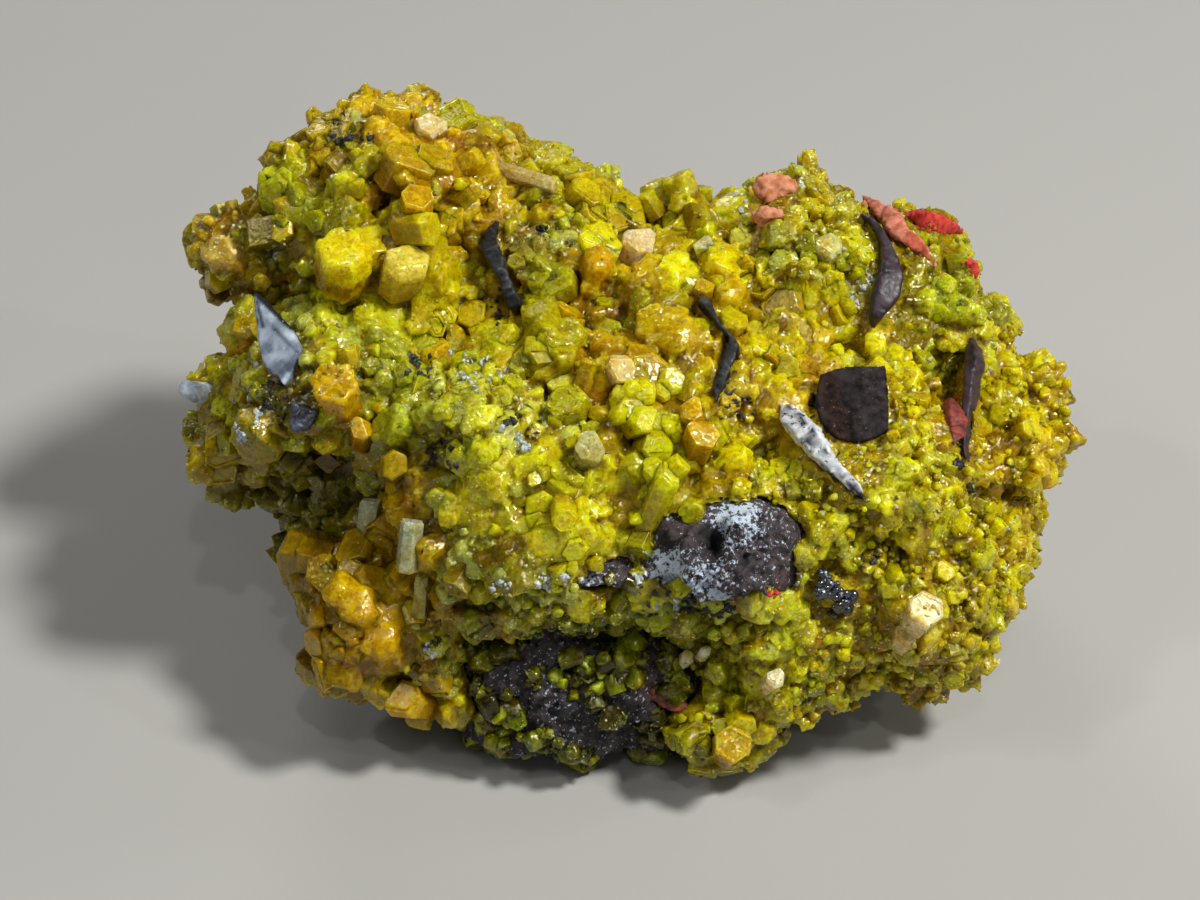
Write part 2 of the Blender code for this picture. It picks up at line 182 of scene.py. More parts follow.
def facetField(points, size, seed):  # small crystal faces, each a tilted plane of its own: heights, about -1 to 1
    table = np.random.default_rng(seed).random((4093, 7))
    place = points / (size * mm)
    base = np.floor(place - 0.5).astype(np.int64)
    closest, height = np.full(len(points), 1e9), np.zeros(len(points))
    for corner in np.ndindex(2, 2, 2):
        cell = base + corner
        own = table[(cell @ np.array([7385, 19349, 83492])) % 4093]
        offset = place - cell - 0.15 - 0.7 * own[:, :3]
        apart = np.linalg.norm(offset, axis=1)
        closer = apart < closest
        closest[closer] = apart[closer]
        height[closer] = ((offset * (own[:, 3:6] * 2.6 - 1.3)).sum(1) + own[:, 6] - 0.5)[closer]
    return height


def fuse(arrays, voxel, adaptivity):  # overlapping solids as one grown-together skin, colours carried over
    work = bpy.data.objects.new("fuseWork", meshFromArrays("fuseWork", *arrays, False))
    bpy.context.scene.collection.objects.link(work)
    bpy.context.view_layer.objects.active = work
    work.select_set(True)
    work.data.remesh_voxel_size = voxel * mm
    work.data.remesh_voxel_adaptivity = adaptivity
    work.data.use_remesh_preserve_attributes = True
    bpy.ops.object.voxel_remesh()
    points, faces, normals = meshArrays(work)
    tint, frost = np.empty(len(points) * 4, np.float32), np.empty(len(points), np.float32)
    work.data.attributes["tint"].data.foreach_get("color", tint)
    work.data.attributes["frost"].data.foreach_get("value", frost)
    bpy.data.objects.remove(work)
    return (points, faces, tint.reshape(-1, 4)[:, :3].astype(float), frost.astype(float)), normals


def noiseField(points, size, seed=0.0, octaves=2):  # about -1 to 1, features as large as size in mm
    offset = Vector((seed * 17.3, seed * 5.1, seed * 11.7))
    scale = 1 / (size * mm)
    return np.array([noise.fractal(Vector(p) * scale + offset, 1.0, 2.0, octaves) for p in points])


# ---- camera: the angle the specimen is looked at ----

camera = {
    "lens": 85,          # mm
    "elevation": 38,     # degrees
    "distance": 0.286,   # m from the aim
    "aim": (-0.003, -0.001, 0.0255),
    "pixel": 0.0001009,  # m across one pixel of the 1200 x 900 frame, at the aim
}
cameraData = bpy.data.cameras.new("camera")
cameraData.lens = camera["lens"]
cameraData.sensor_width = 36
cameraObject = bpy.data.objects.new("camera", cameraData)
bpy.context.scene.collection.objects.link(cameraObject)
bpy.context.scene.camera = cameraObject
tilt = math.radians(camera["elevation"])
cameraForward = Vector((0, math.cos(tilt), -math.sin(tilt)))
cameraUp = Vector((0, math.sin(tilt), math.cos(tilt)))
cameraPlace = Vector(camera["aim"]) - cameraForward * camera["distance"]
cameraObject.location = cameraPlace
cameraObject.rotation_euler = cameraForward.to_track_quat("-Z", "Y").to_euler()
cameraData.clip_start, cameraData.clip_end = 0.01, 10


def pixelRay(x, y):  # start and direction of the line of sight through a pixel
    offset = Vector((1, 0, 0)) * (x - 600) * camera["pixel"] + cameraUp * (450 - y) * camera["pixel"]
    return cameraPlace, (Vector(camera["aim"]) + offset - cameraPlace).normalized()


def pixelPoint(x, y, *trees):  # the nearest place on these surfaces that is seen at a pixel
    start, direction = pixelRay(x, y)
    found = [tree.ray_cast(start, direction) for tree in trees]
    found = sorted((hit for hit in found if hit[0]), key=lambda hit: hit[3])
    return (np.array(found[0][0]), np.array(found[0][1])) if found else (None, None)


# ---- mimetite crust: the skin that the crystals stand on ----

crust = {
    "voxel": 0.85,        # mm between the skin's points
    "soften": 3,
    "middle": (0, 4, 24),  # mm
    "sink": 0.75,         # mm that the skin lies under the solid's face
    "knobs": (1.2, 7.0),  # height and size of the knobs that crystals gather in, mm
    "crevices": (2.0, 6.0),
    # dark hollows between the crystals: pixel, reach and depth in mm
    "hollows": [
        (366, 198, 2.6, 3.4), (442, 212, 1.9, 2.6), (452, 262, 1.8, 2.2), (490, 160, 1.5, 1.6),
        (628, 325, 2.4, 2.8), (590, 305, 1.6, 2.0), (765, 318, 2.4, 2.6), (800, 300, 1.8, 2.0),
        (325, 486, 4.6, 6.0), (395, 466, 3.6, 5.0), (440, 478, 2.4, 3.0), (288, 396, 2.0, 2.8), (262, 505, 3.0, 3.5),
        (985, 500, 2.4, 2.8), (966, 560, 1.6, 1.8), (372, 560, 2.2, 2.4), (520, 640, 2.6, 2.6),
        (480, 615, 2.0, 2.2), (590, 655, 2.6, 2.4), (720, 655, 1.8, 2.0), (640, 540, 1.6, 1.6),
        (535, 300, 1.6, 1.6), (700, 560, 1.2, 1.0), (860, 520, 1.3, 1.2), (700, 505, 1.4, 1.4),
        (1035, 400, 1.6, 1.6), (1000, 420, 1.5, 1.5), (255, 262, 1.7, 1.8), (316, 255, 1.6, 1.5),
    ],
}

skinPoints, skinFaces, skinNormals = fineCopy("mimetite_crust", crust["voxel"], crust["soften"])
crustTree = treeOf(*meshArrays(nodes["mimetite_crust"])[:2])
rockTree = treeOf(*meshArrays(nodes["oxide_rock"])[:2])
chipNames = [name for name in nodes if name not in ("mimetite_crust", "oxide_rock")]
chipTrees = {name: treeOf(*meshArrays(nodes[name])[:2]) for name in chipNames}
print("crust skin:", len(skinFaces), "triangles")

# blades, veins and streaks stand in the crust as strips: path of (x, y, width in mm), then depth into the crust
# and height above it in mm, and how ragged the strip is, in mm
strips = {
    "black_blade_upper": ([(497, 221, 0.5), (490, 233, 0.9), (489, 246, 1.4), (496, 260, 1.25), (503, 276, 0.9),
                           (508, 289, 1.0), (514, 304, 1.1), (517, 315, 0.6)], 2.7, 0.6, 0.18),
    "black_blade_centre": ([(700, 294, 0.4), (704, 302, 0.9), (709, 309, 0.6), (716, 320, 0.3), (724, 331, 0.3),
                            (731, 339, 0.5), (733, 347, 0.9), (729, 360, 1.0), (723, 374, 0.95), (718, 388, 0.75),
                            (716, 401, 0.35)], 2.7, 0.8, 0.16),
    "purple_blade": ([(862, 213, 0.3), (872, 222, 0.45), (880, 232, 0.65), (886, 246, 0.9), (890, 262, 1.5),
                      (891, 276, 2.0), (888, 290, 2.1), (882, 303, 1.7), (877, 314, 1.1), (874, 327, 0.6)],
                     2.6, 0.7, 0.07),
    "white_vein": ([(780, 403, 0.6), (787, 411, 1.4), (797, 422, 1.8), (808, 434, 1.9), (818, 447, 1.7),
                    (828, 460, 1.25), (840, 473, 0.95), (851, 483, 0.85), (860, 493, 0.55), (864, 500, 0.3)],
                   2.4, 0.65, 0.24),
    "brown_blade": ([(971, 338, 0.35), (973, 350, 0.8), (974, 362, 1.1), (971, 378, 0.85), (970, 392, 0.8),
                     (969, 408, 0.75), (967, 425, 0.5), (966, 445, 0.4), (966, 458, 0.3)], 2.4, 0.8, 0.12),
    "red_slab": ([(953, 396, 0.7), (956, 405, 1.4), (957, 416, 1.6), (957, 427, 1.5), (956, 435, 1.3),
                  (955, 443, 0.9)], 2.3, 0.55, 0.15),
    "ochre_streak": ([(862, 194, 0.4), (874, 203, 0.9), (888, 214, 1.3), (900, 228, 1.6), (912, 239, 1.2),
                      (921, 248, 0.9), (931, 260, 0.5)], 2.8, 0.1, 0.35),
    "red_ochre": ([(905, 217, 0.6), (919, 219, 1.2), (933, 223, 1.6), (946, 227, 1.3), (957, 230, 0.7),
                   (963, 233, 0.4)], 2.8, 0.4, 0.4),
}


def makeStrip(nodeName, seed):  # points, triangles and outward directions of one strip
    path, depth, stand, ragged = strips[nodeName]
    path = np.array(path, float)
    along = np.concatenate([[0], np.cumsum(np.linalg.norm(np.diff(path[:, :2], axis=0), axis=1))])
    rows, around = 84, 26
    at = np.linspace(0, along[-1], rows)
    xs, ys, widths = (np.interp(at, along, path[:, i]) for i in range(3))
    hits = [pixelPoint(x, y, crustTree, rockTree, chipTrees[nodeName]) for x, y in zip(xs, ys)]
    seen = np.array([hit[0] is not None for hit in hits])
    away = np.array([(hit[0] - np.array(cameraPlace)) @ np.array(cameraForward) if hit[0] is not None else 0
                     for hit in hits])
    fitted = np.polyval(np.polyfit(at[seen], away[seen], 3), at)
    facing = unit(np.mean([hit[1] for hit in hits if hit[0] is not None], axis=0))
    inward = unit(0.5 * np.array(cameraForward) - 0.5 * facing)
    centres = []
    for x, y, distance in zip(xs, ys, fitted):
        start, direction = pixelRay(x, y)
        centres.append(np.array(start + direction * (distance / direction.dot(cameraForward))))
    centres = np.array(centres) + inward * (depth / 2 - stand) * mm
    run = unit(np.gradient(centres, axis=0))
    across = unit(np.cross(run, inward))
    taper = np.clip(np.minimum(at, at[-1] - at) / 9, 0.25, 1) ** 0.6
    angles = np.linspace(0, 2 * math.pi, around, endpoint=False)
    u, v = (np.sign(wave) * np.abs(wave) ** 0.35 for wave in (np.cos(angles), np.sin(angles)))
    outward = unit(across[:, None] * u[None, :, None] + inward * v[None, :, None])
    rings = (centres[:, None] + across[:, None] * (u[None, :, None] * (1.25 * widths * taper)[:, None, None] * mm / 2)
             + inward * (v[None, :, None] * taper[:, None, None] * depth * mm / 2))
    points, outward = rings.reshape(-1, 3), outward.reshape(-1, 3)
    uneven = noiseField(points, 2.2, seed, 2) + 0.35 * noiseField(points, 0.7, seed + 1, 2)
    points = points + outward * (ragged * uneven)[:, None] * mm
    faces = []
    for row in range(rows - 1):
        for k in range(around):
            a, b = row * around + k, row * around + (k + 1) % around
            faces += [(a, b, b + around), (a, b + around, a + around)]
    for row, order in ((0, -1), (rows - 1, 1)):
        centre = len(points)
        points = np.vstack([points, points[row * around:(row + 1) * around].mean(0)])
        outward = np.vstack([outward, run[row] * order])
        for k in range(around):
            a, b = row * around + k, row * around + (k + 1) % around
            faces.append((a, b, centre)[::order])
    faces = np.array(faces)
    if np.linalg.det(points[faces] - points.mean(0)).sum() < 0:
        faces = faces[:, ::-1]
    return points, faces, outward, at / at[-1]


stripMeshes = {name: makeStrip(name, 60 + number) for number, name in enumerate(strips)}
pocketPlugs = []  # the mass closes up round these
for name, sunk in [*((name, 0.7) for name in strips), ("black_botryoid", 0), ("dark_block", 0)]:  # mm below its face
    points, faces, normals = meshArrays(nodes[name])
    pocketPlugs.append((points - (normals * 0.3 - np.array(cameraForward) * sunk) * mm, faces))
for name in strips:
    chipTrees[name] = treeOf(*stripMeshes[name][:2])
print("strips:", len(stripMeshes))


def nearest(points, tree, reach=0.02):  # distance to a surface, and that surface's facing
    found = [tree.find_nearest(Vector(p), reach) for p in points]
    distance = np.array([hit[3] if hit[0] else reach for hit in found])
    facing = np.array([tuple(hit[1]) if hit[0] else (0, 0, 0) for hit in found])
    return distance, facing


rockGap, rockFacing = nearest(skinPoints, rockTree)
chipGap, chipFacing = np.full(len(skinPoints), 0.02), np.zeros_like(skinPoints)
for chipTree in chipTrees.values():
    gap, facing = nearest(skinPoints, chipTree)
    closer = gap < chipGap
    chipGap[closer], chipFacing[closer] = gap[closer], facing[closer]
againstRock = (rockGap < 1.1 * mm) & ((skinNormals * rockFacing).sum(1) < -0.2)
againstChip = (chipGap < 0.9 * mm) & ((skinNormals * chipFacing).sum(1) < -0.35)
outside = ~(againstRock | againstChip)  # the skin's weather side, without the walls of its pockets

knobHeight, knobSize = crust["knobs"]
creviceDepth, creviceSize = crust["crevices"]
rise = knobHeight * noiseField(skinPoints, knobSize, 1)
ridge = np.abs(noiseField(skinPoints, creviceSize, 2, 1))
rise -= creviceDepth * np.clip(1 - ridge / 0.16, 0, 1) ** 1.5
rise -= crust["sink"]
hollows = [(pixelPoint(x, y, crustTree)[0], reach * mm, depth) for x, y, reach, depth in crust["hollows"]]
hollows = [hollow for hollow in hollows if hollow[0] is not None]
for spot, reach, depth in hollows:
    rise -= depth * np.exp(-(np.linalg.norm(skinPoints - spot, axis=1) / reach) ** 2)


def hollowness(points):  # 1 in the middle of a hollow, 0 outside
    return np.max([np.exp(-(np.linalg.norm(points - spot, axis=1) / reach) ** 2) for spot, reach, _ in hollows], axis=0)


nearFrame = np.clip(np.minimum(rockGap, chipGap) / (2.2 * mm), 0, 1)  # the skin keeps its place beside rock and chips
rise = np.where(rise < 0, rise * nearFrame, rise)
rise = np.where(outside, rise, 0)
overGround = np.clip((skinPoints[:, 2] - 1.5 * mm) / (4 * mm), 0, 1)
skinPoints = skinPoints + skinNormals * (rise * overGround)[:, None] * mm
creviceShade = np.clip(-(rise + crust["sink"]) / 2.4, 0, 1)
print("skin shaped:", int(outside.sum()), "outside points")


# ---- crystal zones: how the crystals look from place to place ----

tints = {  # body colours of the crystals; the shade family is painted shade, dark tints for recesses and low places
    "amber": ["#D3B400", "#CFAC00", "#D8BC02", "#CBA800"],
    "orange": ["#CFA400", "#CB9C00", "#D3AC04"],
    "yellow": ["#DAD000", "#D4CA00", "#DED806", "#D3C400"],
    "lemon": ["#DAE408", "#D4DE04", "#DEE81C"],
    "olive": ["#A5AE02", "#969E02", "#B1BA04", "#8B9402"],
    "green": ["#B1C80A", "#BCD010", "#A2B806"],
    "pale": ["#DADE70", "#E0E690", "#D3D860"],
    "mist": ["#C3DA62", "#CDE27C", "#BAD052"],
    # painted shade: dark tints that stand for the shade in recesses and low places
    "shade": ["#676A04", "#747806", "#565A04"],
}
zones = {  # where (pixel, or mm on the hidden sides), reach in mm, tints to draw from, crystal size, frost, druse
    "hill": ((430, 170), 13, "amber orange amber amber", 1.1, 0.05, 0.1),
    "hillTop": ((375, 112), 6, "orange amber olive", 0.9, 0.2, 0.4),
    "hillFrost": ((345, 130), 4.0, "olive mist green", 0.55, 0.7, 1.0),
    "hillLeft": ((285, 185), 6, "olive green amber", 0.85, 0.25, 0.4),
    "spur": ((215, 245), 6, "pale amber amber green", 0.9, 0.25, 0.4),
    "brightYellow": ((365, 250), 9, "lemon yellow lemon yellow", 1.4, 0.05, 0.15),
    "leftFrost": ((330, 330), 8, "olive green mist", 0.75, 0.6, 0.9),
    "leftOlive": ((300, 410), 8, "olive amber olive green", 0.85, 0.3, 0.5),
    "leftEdge": ((205, 400), 6, "yellow green olive", 0.8, 0.35, 0.5),
    "leftLower": ((240, 475), 6, "yellow olive amber", 0.9, 0.15, 0.3),
    "recess": ((320, 500), 7, "shade olive shade", 0.8, 0.05, 0.1),
    "innerRecess": ((415, 465), 4.5, "shade olive", 0.8, 0.1, 0.2),
    "centreFrost": ((480, 385), 7, "lemon lemon mist yellow", 0.85, 0.6, 0.9),
    "centre": ((600, 330), 8, "amber olive orange olive", 1.2, 0.1, 0.2),
    "topMiddle": ((560, 195), 7, "yellow amber yellow green", 1.2, 0.2, 0.4),
    "bladeFrost": ((530, 240), 5, "olive mist green", 0.65, 0.7, 1.0),
    "topDome": ((690, 195), 5, "lemon yellow", 1.15, 0.05, 0.2),
    "pinkTop": ((770, 200), 4, "amber pale yellow", 0.9, 0.2, 0.3),
    "topRight": ((830, 225), 7, "green olive yellow", 0.8, 0.55, 0.9),
    "rightShoulder": ((960, 290), 7, "olive yellow green", 0.8, 0.25, 0.5),
    "overBlock": ((790, 330), 7, "yellow amber yellow", 1.1, 0.12, 0.3),
    "rightFine": ((920, 500), 11, "lemon yellow yellow lemon", 0.6, 0.35, 0.9),
    "rightBulge": ((1030, 430), 8, "amber yellow yellow", 0.7, 0.15, 0.6),
    "rightLow": ((960, 610), 9, "yellow amber lemon yellow", 0.65, 0.3, 0.8),
    "rightFoot": ((900, 665), 7, "amber olive yellow", 0.7, 0.25, 0.6),
    "lemonSheaf": ((665, 475), 4.5, "lemon lemon yellow", 1.2, 0.05, 0.2),
    "middle": ((560, 500), 8, "yellow lemon yellow", 1.15, 0.2, 0.4),
    "ridgeFrost": ((500, 588), 5, "mist green lemon", 0.6, 1.0, 1.0),
    "lowerLeft": ((350, 610), 9, "amber orange amber", 1.5, 0.03, 0.1),
    "bottomLeft": ((405, 695), 5, "amber olive yellow", 1.1, 0.1, 0.3),
    "bottomFrost": ((435, 655), 4, "mist green yellow", 0.7, 0.8, 1.0),
    "underWindow": ((640, 640), 7, "olive green olive", 0.7, 0.35, 0.7),
    "rightOfWindow": ((790, 630), 7, "green yellow lemon", 0.75, 0.35, 0.7),
    "frontTip": ((725, 735), 5, "yellow olive yellow", 0.95, 0.15, 0.4),
    "backLeft": ((-24, 32, 30), 15, "amber yellow olive", 1.0, 0.2, 0.4),
    "backTop": ((-10, 28, 42), 12, "yellow green mist", 0.85, 0.5, 0.8),
    "backMiddle": ((2, 35, 20), 12, "olive amber yellow", 1.1, 0.15, 0.4),
    "backRight": ((28, 28, 24), 14, "yellow amber lemon", 0.8, 0.35, 0.6),
    "backLow": ((0, 30, 8), 12, "olive shade amber", 0.9, 0.1, 0.3),
}


def zonePlace(where):
    if len(where) == 3:
        return np.array(where, float) * mm
    spot, _ = pixelPoint(*where, crustTree)
    if spot is None:  # just off the edge: the nearest place on the crust
        start, direction = pixelRay(*where)
        spot = np.array(crustTree.find_nearest(start + direction * camera["distance"])[0])
    return spot


zoneNames = list(zones)
zoneSpots = np.array([zonePlace(zones[name][0]) for name in zoneNames])
zoneReach = np.array([zones[name][1] for name in zoneNames]) * mm
zoneTints = [zones[name][2].split() for name in zoneNames]
zoneSize, zoneFrost, zoneDruse = (np.array([zones[name][i] for name in zoneNames]) for i in (3, 4, 5))


def pickZones(points, rng):  # each point takes one of the zones it lies in, the nearer the likelier
    apart = np.linalg.norm(points[:, None, :] - zoneSpots[None], axis=2)
    weights = np.exp(-(apart / zoneReach) ** 2) + 1e-9
    share = np.cumsum(weights / weights.sum(1, keepdims=True), axis=1)
    return np.minimum((rng.random(len(points))[:, None] > share).sum(1), len(zoneNames) - 1)


def zoneValue(points, values):  # a zone value blended smoothly over the surface
    apart = np.linalg.norm(points[:, None, :] - zoneSpots[None], axis=2)
    weights = np.exp(-(apart / zoneReach) ** 2) + 1e-9
    return (weights * values).sum(1) / weights.sum(1)


zoneMeans = np.array([np.mean([linear(tints[family][0]) for family in families], 0) for families in zoneTints])


stains = {  # places where oxide dust, or a pale coating, colours the crystals: pixel, reach in mm, tint, share
    "hillSoot": ((345, 132), 2.2, "#55583C", 0.75), "leftSoot": ((415, 366), 1.9, "#33352E", 0.85),
    "bluish": ((518, 430), 1.6, "#8C9DA6", 0.55), "bladeDust": ((520, 245), 2.2, "#737B50", 0.55),
    "bladeSpeckle": ((540, 232), 0.9, "#3A4032", 0.7), "blueCoat": ((867, 296), 0.8, "#A2BCCB", 0.85),
    "greySpeckle": ((740, 398), 1.1, "#7C8074", 0.75), "shardDust": ((300, 412), 1.3, "#2C3344", 0.8),
    "leftBlue": ((240, 436), 0.9, "#A2B6C6", 0.8), "plateDust": ((268, 395), 1.5, "#2E3226", 0.8),
    "slabDust": ((964, 474), 1.0, "#283030", 0.85), "tailDust": ((600, 585), 1.5, "#2C2E26", 0.7),
    "blockFrost": ((838, 366), 0.8, "#C9CF92", 0.6), "windowDust": ((690, 604), 2.2, "#565B40", 0.7), "windowRim": ((775, 590), 1.6, "#8A9266", 0.5),
    "underDust": ((560, 640), 4.0, "#4C4E1C", 0.45), "lowTurquoise": ((430, 650), 0.8, "#7FA890", 0.5),
    "topTurquoise": ((795, 182), 0.7, "#8FB8A0", 0.5),
}
stainPlaces = [(zonePlace(pixel), reach * mm, np.array(linear(tint)), share)
               for pixel, reach, tint, share in stains.values()]


def stained(points, colours):
    for spot, reach, tint, share in stainPlaces:
        cover = share * np.exp(-(np.linalg.norm(points - spot, axis=1) / reach) ** 2)[:, None]
        colours = colours * (1 - cover) + tint * cover
    return colours


def pickTints(points, zoneOf, rng):  # colours drift slowly over the surface, with a little of each crystal's own, and painted shade darkens them in the hollows
    apart = np.linalg.norm(points[:, None, :] - zoneSpots[None], axis=2)
    weights = np.exp(-(apart / zoneReach) ** 2) + 1e-9
    drifting = weights @ zoneMeans / weights.sum(1, keepdims=True)
    own = np.empty((len(zoneOf), 3))
    wave = np.clip(0.5 + 0.9 * noiseField(points, 6.0, 7, 2) + rng.normal(0, 0.15, len(points)), 0, 0.999)
    for i, z in enumerate(zoneOf):
        family = tints[zoneTints[z][int(wave[i] * len(zoneTints[z]))]]
        own[i] = linear(family[rng.integers(len(family))])
    # random tone, and painted shade: darker in the middle of the hollows
    toneAndHollowShade = np.exp(rng.normal(0, 0.16, len(own)))[:, None] * (1 - 0.5 * hollowness(points))[:, None]
    return stained(points, np.clip((0.5 * drifting + 0.5 * own) * toneAndHollowShade, 0.001, 1))


# ---- crystal shapes: six-sided prisms with a flat end, cut plane by plane and worn at the edges ----

def cutCrystal(seed, chamfer, barrel, bevel, steps=0, bands=0):
    rng = np.random.default_rng(seed)
    planes = [((0, 0, 1), (rng.normal(0, 0.06), rng.normal(0, 0.06), 1)), ((0, 0, -0.55), (0, 0, -1))]
    for side in range(6):
        angle = math.radians(60 * side + rng.normal(0, 2.5))
        across = np.array([math.cos(angle), math.sin(angle), 0])
        reach = 0.87 * rng.uniform(0.84, 1.12)
        for lean in ((barrel, -barrel) if barrel else (0,)):
            facing = across * math.cos(lean) + np.array([0, 0, math.sin(lean)])
            planes.append((across * reach + np.array([0, 0, 0.25]), facing))
        if rng.random() < 0.5:
            lean = math.radians(rng.uniform(32, 62))
            drop = chamfer * rng.uniform(0.3, 1.7)
            planes.append((across * reach + np.array([0, 0, 1 - drop]),
                           across * math.cos(lean) + np.array([0, 0, math.sin(lean)])))
    bm = bmesh.new()
    bmesh.ops.create_cube(bm, size=6)
    for place, facing in planes:
        bmesh.ops.bisect_plane(bm, geom=bm.verts[:] + bm.edges[:] + bm.faces[:], dist=1e-5,
                               plane_co=Vector(place), plane_no=Vector(facing), clear_outer=True)
        bmesh.ops.holes_fill(bm, edges=[e for e in bm.edges if e.is_boundary], sides=0)
    bmesh.ops.remove_doubles(bm, verts=bm.verts, dist=0.02)
    bmesh.ops.dissolve_limit(bm, angle_limit=math.radians(2), verts=bm.verts, edges=bm.edges)
    for band in range(bands):  # growth bands: the sides swell and narrow a little along the crystal
        height = rng.uniform(0.1, 0.75)
        ring = bmesh.ops.bisect_plane(bm, geom=bm.verts[:] + bm.edges[:] + bm.faces[:], dist=1e-5,
                                      plane_co=(0, 0, height), plane_no=(0, 0, 1))["geom_cut"]
        swell = rng.uniform(0.90, 1.07)
        for vert in (item for item in ring if isinstance(item, bmesh.types.BMVert)):
            vert.co.x *= swell
            vert.co.y *= swell
    if bevel:
        bmesh.ops.bevel(bm, geom=bm.edges[:] + bm.verts[:], offset=bevel, segments=1, profile=0.6,
                        affect="EDGES", clamp_overlap=True)
    top = max(bm.faces, key=lambda face: face.calc_center_median().z * face.calc_area() ** 0.5)
    for step in range(steps):  # growth steps on the end face, some of them sunk
        bmesh.ops.inset_region(bm, faces=[top], thickness=rng.uniform(0.05, 0.14))
        rise = rng.uniform(0.03, 0.09) * (1 if rng.random() < 0.7 else -1)
        bmesh.ops.inset_region(bm, faces=[top], thickness=0.02, depth=rise)
        shift = Vector((rng.normal(0, 0.03), rng.normal(0, 0.03), 0))
        for vert in top.verts:
            vert.co += shift
    bmesh.ops.triangulate(bm, faces=bm.faces[:])
    bmesh.ops.recalc_face_normals(bm, faces=bm.faces[:])
    points = np.array([vert.co[:] for vert in bm.verts])
    bm.verts.index_update()
    faces = np.array([[vert.index for vert in face.verts] for face in bm.faces])
    bm.free()
    return points, faces


def cutGrain(seed):  # the lightest shape: an uneven eight-sided grain
    rng = np.random.default_rng(seed)
    points = np.array([[0, 0, 1], [1, 0, 0.2], [0, 1, 0.2], [-1, 0, 0.2], [0, -1, 0.2], [0, 0, -0.5]], float)
    points = points * rng.uniform(0.7, 1.15, points.shape) + rng.normal(0, 0.14, points.shape)
    faces = [(0, 1, 2), (0, 2, 3), (0, 3, 4), (0, 4, 1), (5, 2, 1), (5, 3, 2), (5, 4, 3), (5, 1, 4)]
    return points, np.array(faces)


shapes = {
    "merged": [cutCrystal(600 + i, 0.16, 0.0, 0, i % 3, i % 2) for i in range(16)],
    "worn": [cutCrystal(100 + i, 0.22, 0.0, 0.08, i % 2, 1) for i in range(10)],
    "crisp": [cutCrystal(200 + i, 0.16, 0.0, 0.04, i % 3, i % 2) for i in range(15)],
    "rounded": [cutCrystal(300 + i, 0.36, 0.22, 0.17) for i in range(10)],
    "plain": [cutCrystal(400 + i, 0.20, 0.0, 0) for i in range(12)],
    "grain": [cutGrain(500 + i) for i in range(12)],
}
for kind, made in shapes.items():
    print("shape", kind, "triangles:", [len(faces) for _, faces in made])


boxLow = np.array(cadBox[0]) - np.array([1.3, 1.2, 0]) * mm
boxHigh = np.array(cadBox[1]) + np.array([1.3, 1.2, 1.1]) * mm


def plant(kind, which, feet, axes, spins, widths, heights, tipTints, rootShadeTints, frosts):
    # copies of the shapes: width and height scale a shape's radius and length in metres
    points, faces, tint, frost, start = [], [], [], [], 0
    which = np.asarray(which) % len(shapes[kind])
    for number in np.unique(which):
        shapePoints, shapeFaces = shapes[kind][number]
        rows = np.flatnonzero(which == number)
        axis = unit(axes[rows])
        helper = np.where(np.abs(axis[:, 2:3]) < 0.9, [[0, 0, 1]], [[1, 0, 0]])
        side = unit(np.cross(helper, axis))
        other = np.cross(axis, side)
        cos, sin = np.cos(spins[rows])[:, None], np.sin(spins[rows])[:, None]
        xAxis, yAxis = side * cos + other * sin, other * cos - side * sin
        local = shapePoints[None] * np.stack([widths[rows], widths[rows], heights[rows]], 1)[:, None, :]
        world = (feet[rows][:, None] + local[..., 0:1] * xAxis[:, None] + local[..., 1:2] * yAxis[:, None]
                 + local[..., 2:3] * axis[:, None])
        # what would grow past the specimen's box, or into the floor, is set back
        world += (np.clip(boxLow - world.min(1), 0, None) - np.clip(world.max(1) - boxHigh, 0, None))[:, None]
        # painted shade: each crystal's colour runs from the darker root tint at its foot to the tip tint
        tipness = np.clip((shapePoints[:, 2] + 0.35) / 1.25, 0, 1)
        tipness = (tipness * tipness * (3 - 2 * tipness))[None, :, None]
        tint.append((rootShadeTints[rows][:, None] * (1 - tipness) + tipTints[rows][:, None] * tipness).reshape(-1, 3))
        topness = np.clip((shapePoints[:, 2] - 0.80) / 0.12, 0, 1)[None]
        grained = frosts[rows][:, None] * (0.3 + 0.7 * tipness[..., 0]) + topness * (widths[rows, None] > 0.4 * mm) * 0.16
        frost.append(grained.ravel())
        points.append(world.reshape(-1, 3))
        counts = np.arange(len(rows))[:, None, None] * len(shapePoints) + start
        faces.append((shapeFaces[None] + counts).reshape(-1, 3))
        start += len(rows) * len(shapePoints)
    return np.concatenate(points), np.concatenate(faces), np.concatenate(tint), np.concatenate(frost)


# ---- planting: which crystal stands where ----

class Crowd:  # remembers where crystals stand, so that they can keep their distance
    def __init__(self, cell):
        self.cell, self.places = cell, {}

    def key(self, point):
        return tuple(int(math.floor(c / self.cell)) for c in point)

    def isFree(self, point, radius, closeness):
        kx, ky, kz = self.key(point)
        for dx in (-1, 0, 1):
            for dy in (-1, 0, 1):
                for dz in (-1, 0, 1):
                    for other, otherRadius in self.places.get((kx + dx, ky + dy, kz + dz), ()):
                        gap = closeness * (radius + otherRadius)
                        apart = [a - b for a, b in zip(point, other)]
                        if apart[0] ** 2 + apart[1] ** 2 + apart[2] ** 2 < gap * gap:
                            return False
        return True

    def add(self, point, radius):
        self.places.setdefault(self.key(point), []).append((point, radius))


def samplePoints(points, faces, weight, count, rng):  # random places on a surface, even by area times weight
    a, b, c = (points[faces[:, i]] for i in range(3))
    cross = np.cross(b - a, c - a)
    area = np.linalg.norm(cross, axis=1) * weight
    picked = rng.choice(len(faces), count, p=area / area.sum())
    u, v = rng.random(count), rng.random(count)
    flip = u + v > 1
    u[flip], v[flip] = 1 - u[flip], 1 - v[flip]
    spots = a[picked] + (b - a)[picked] * u[:, None] + (c - a)[picked] * v[:, None]
    return spots, picked, unit(cross)[picked]


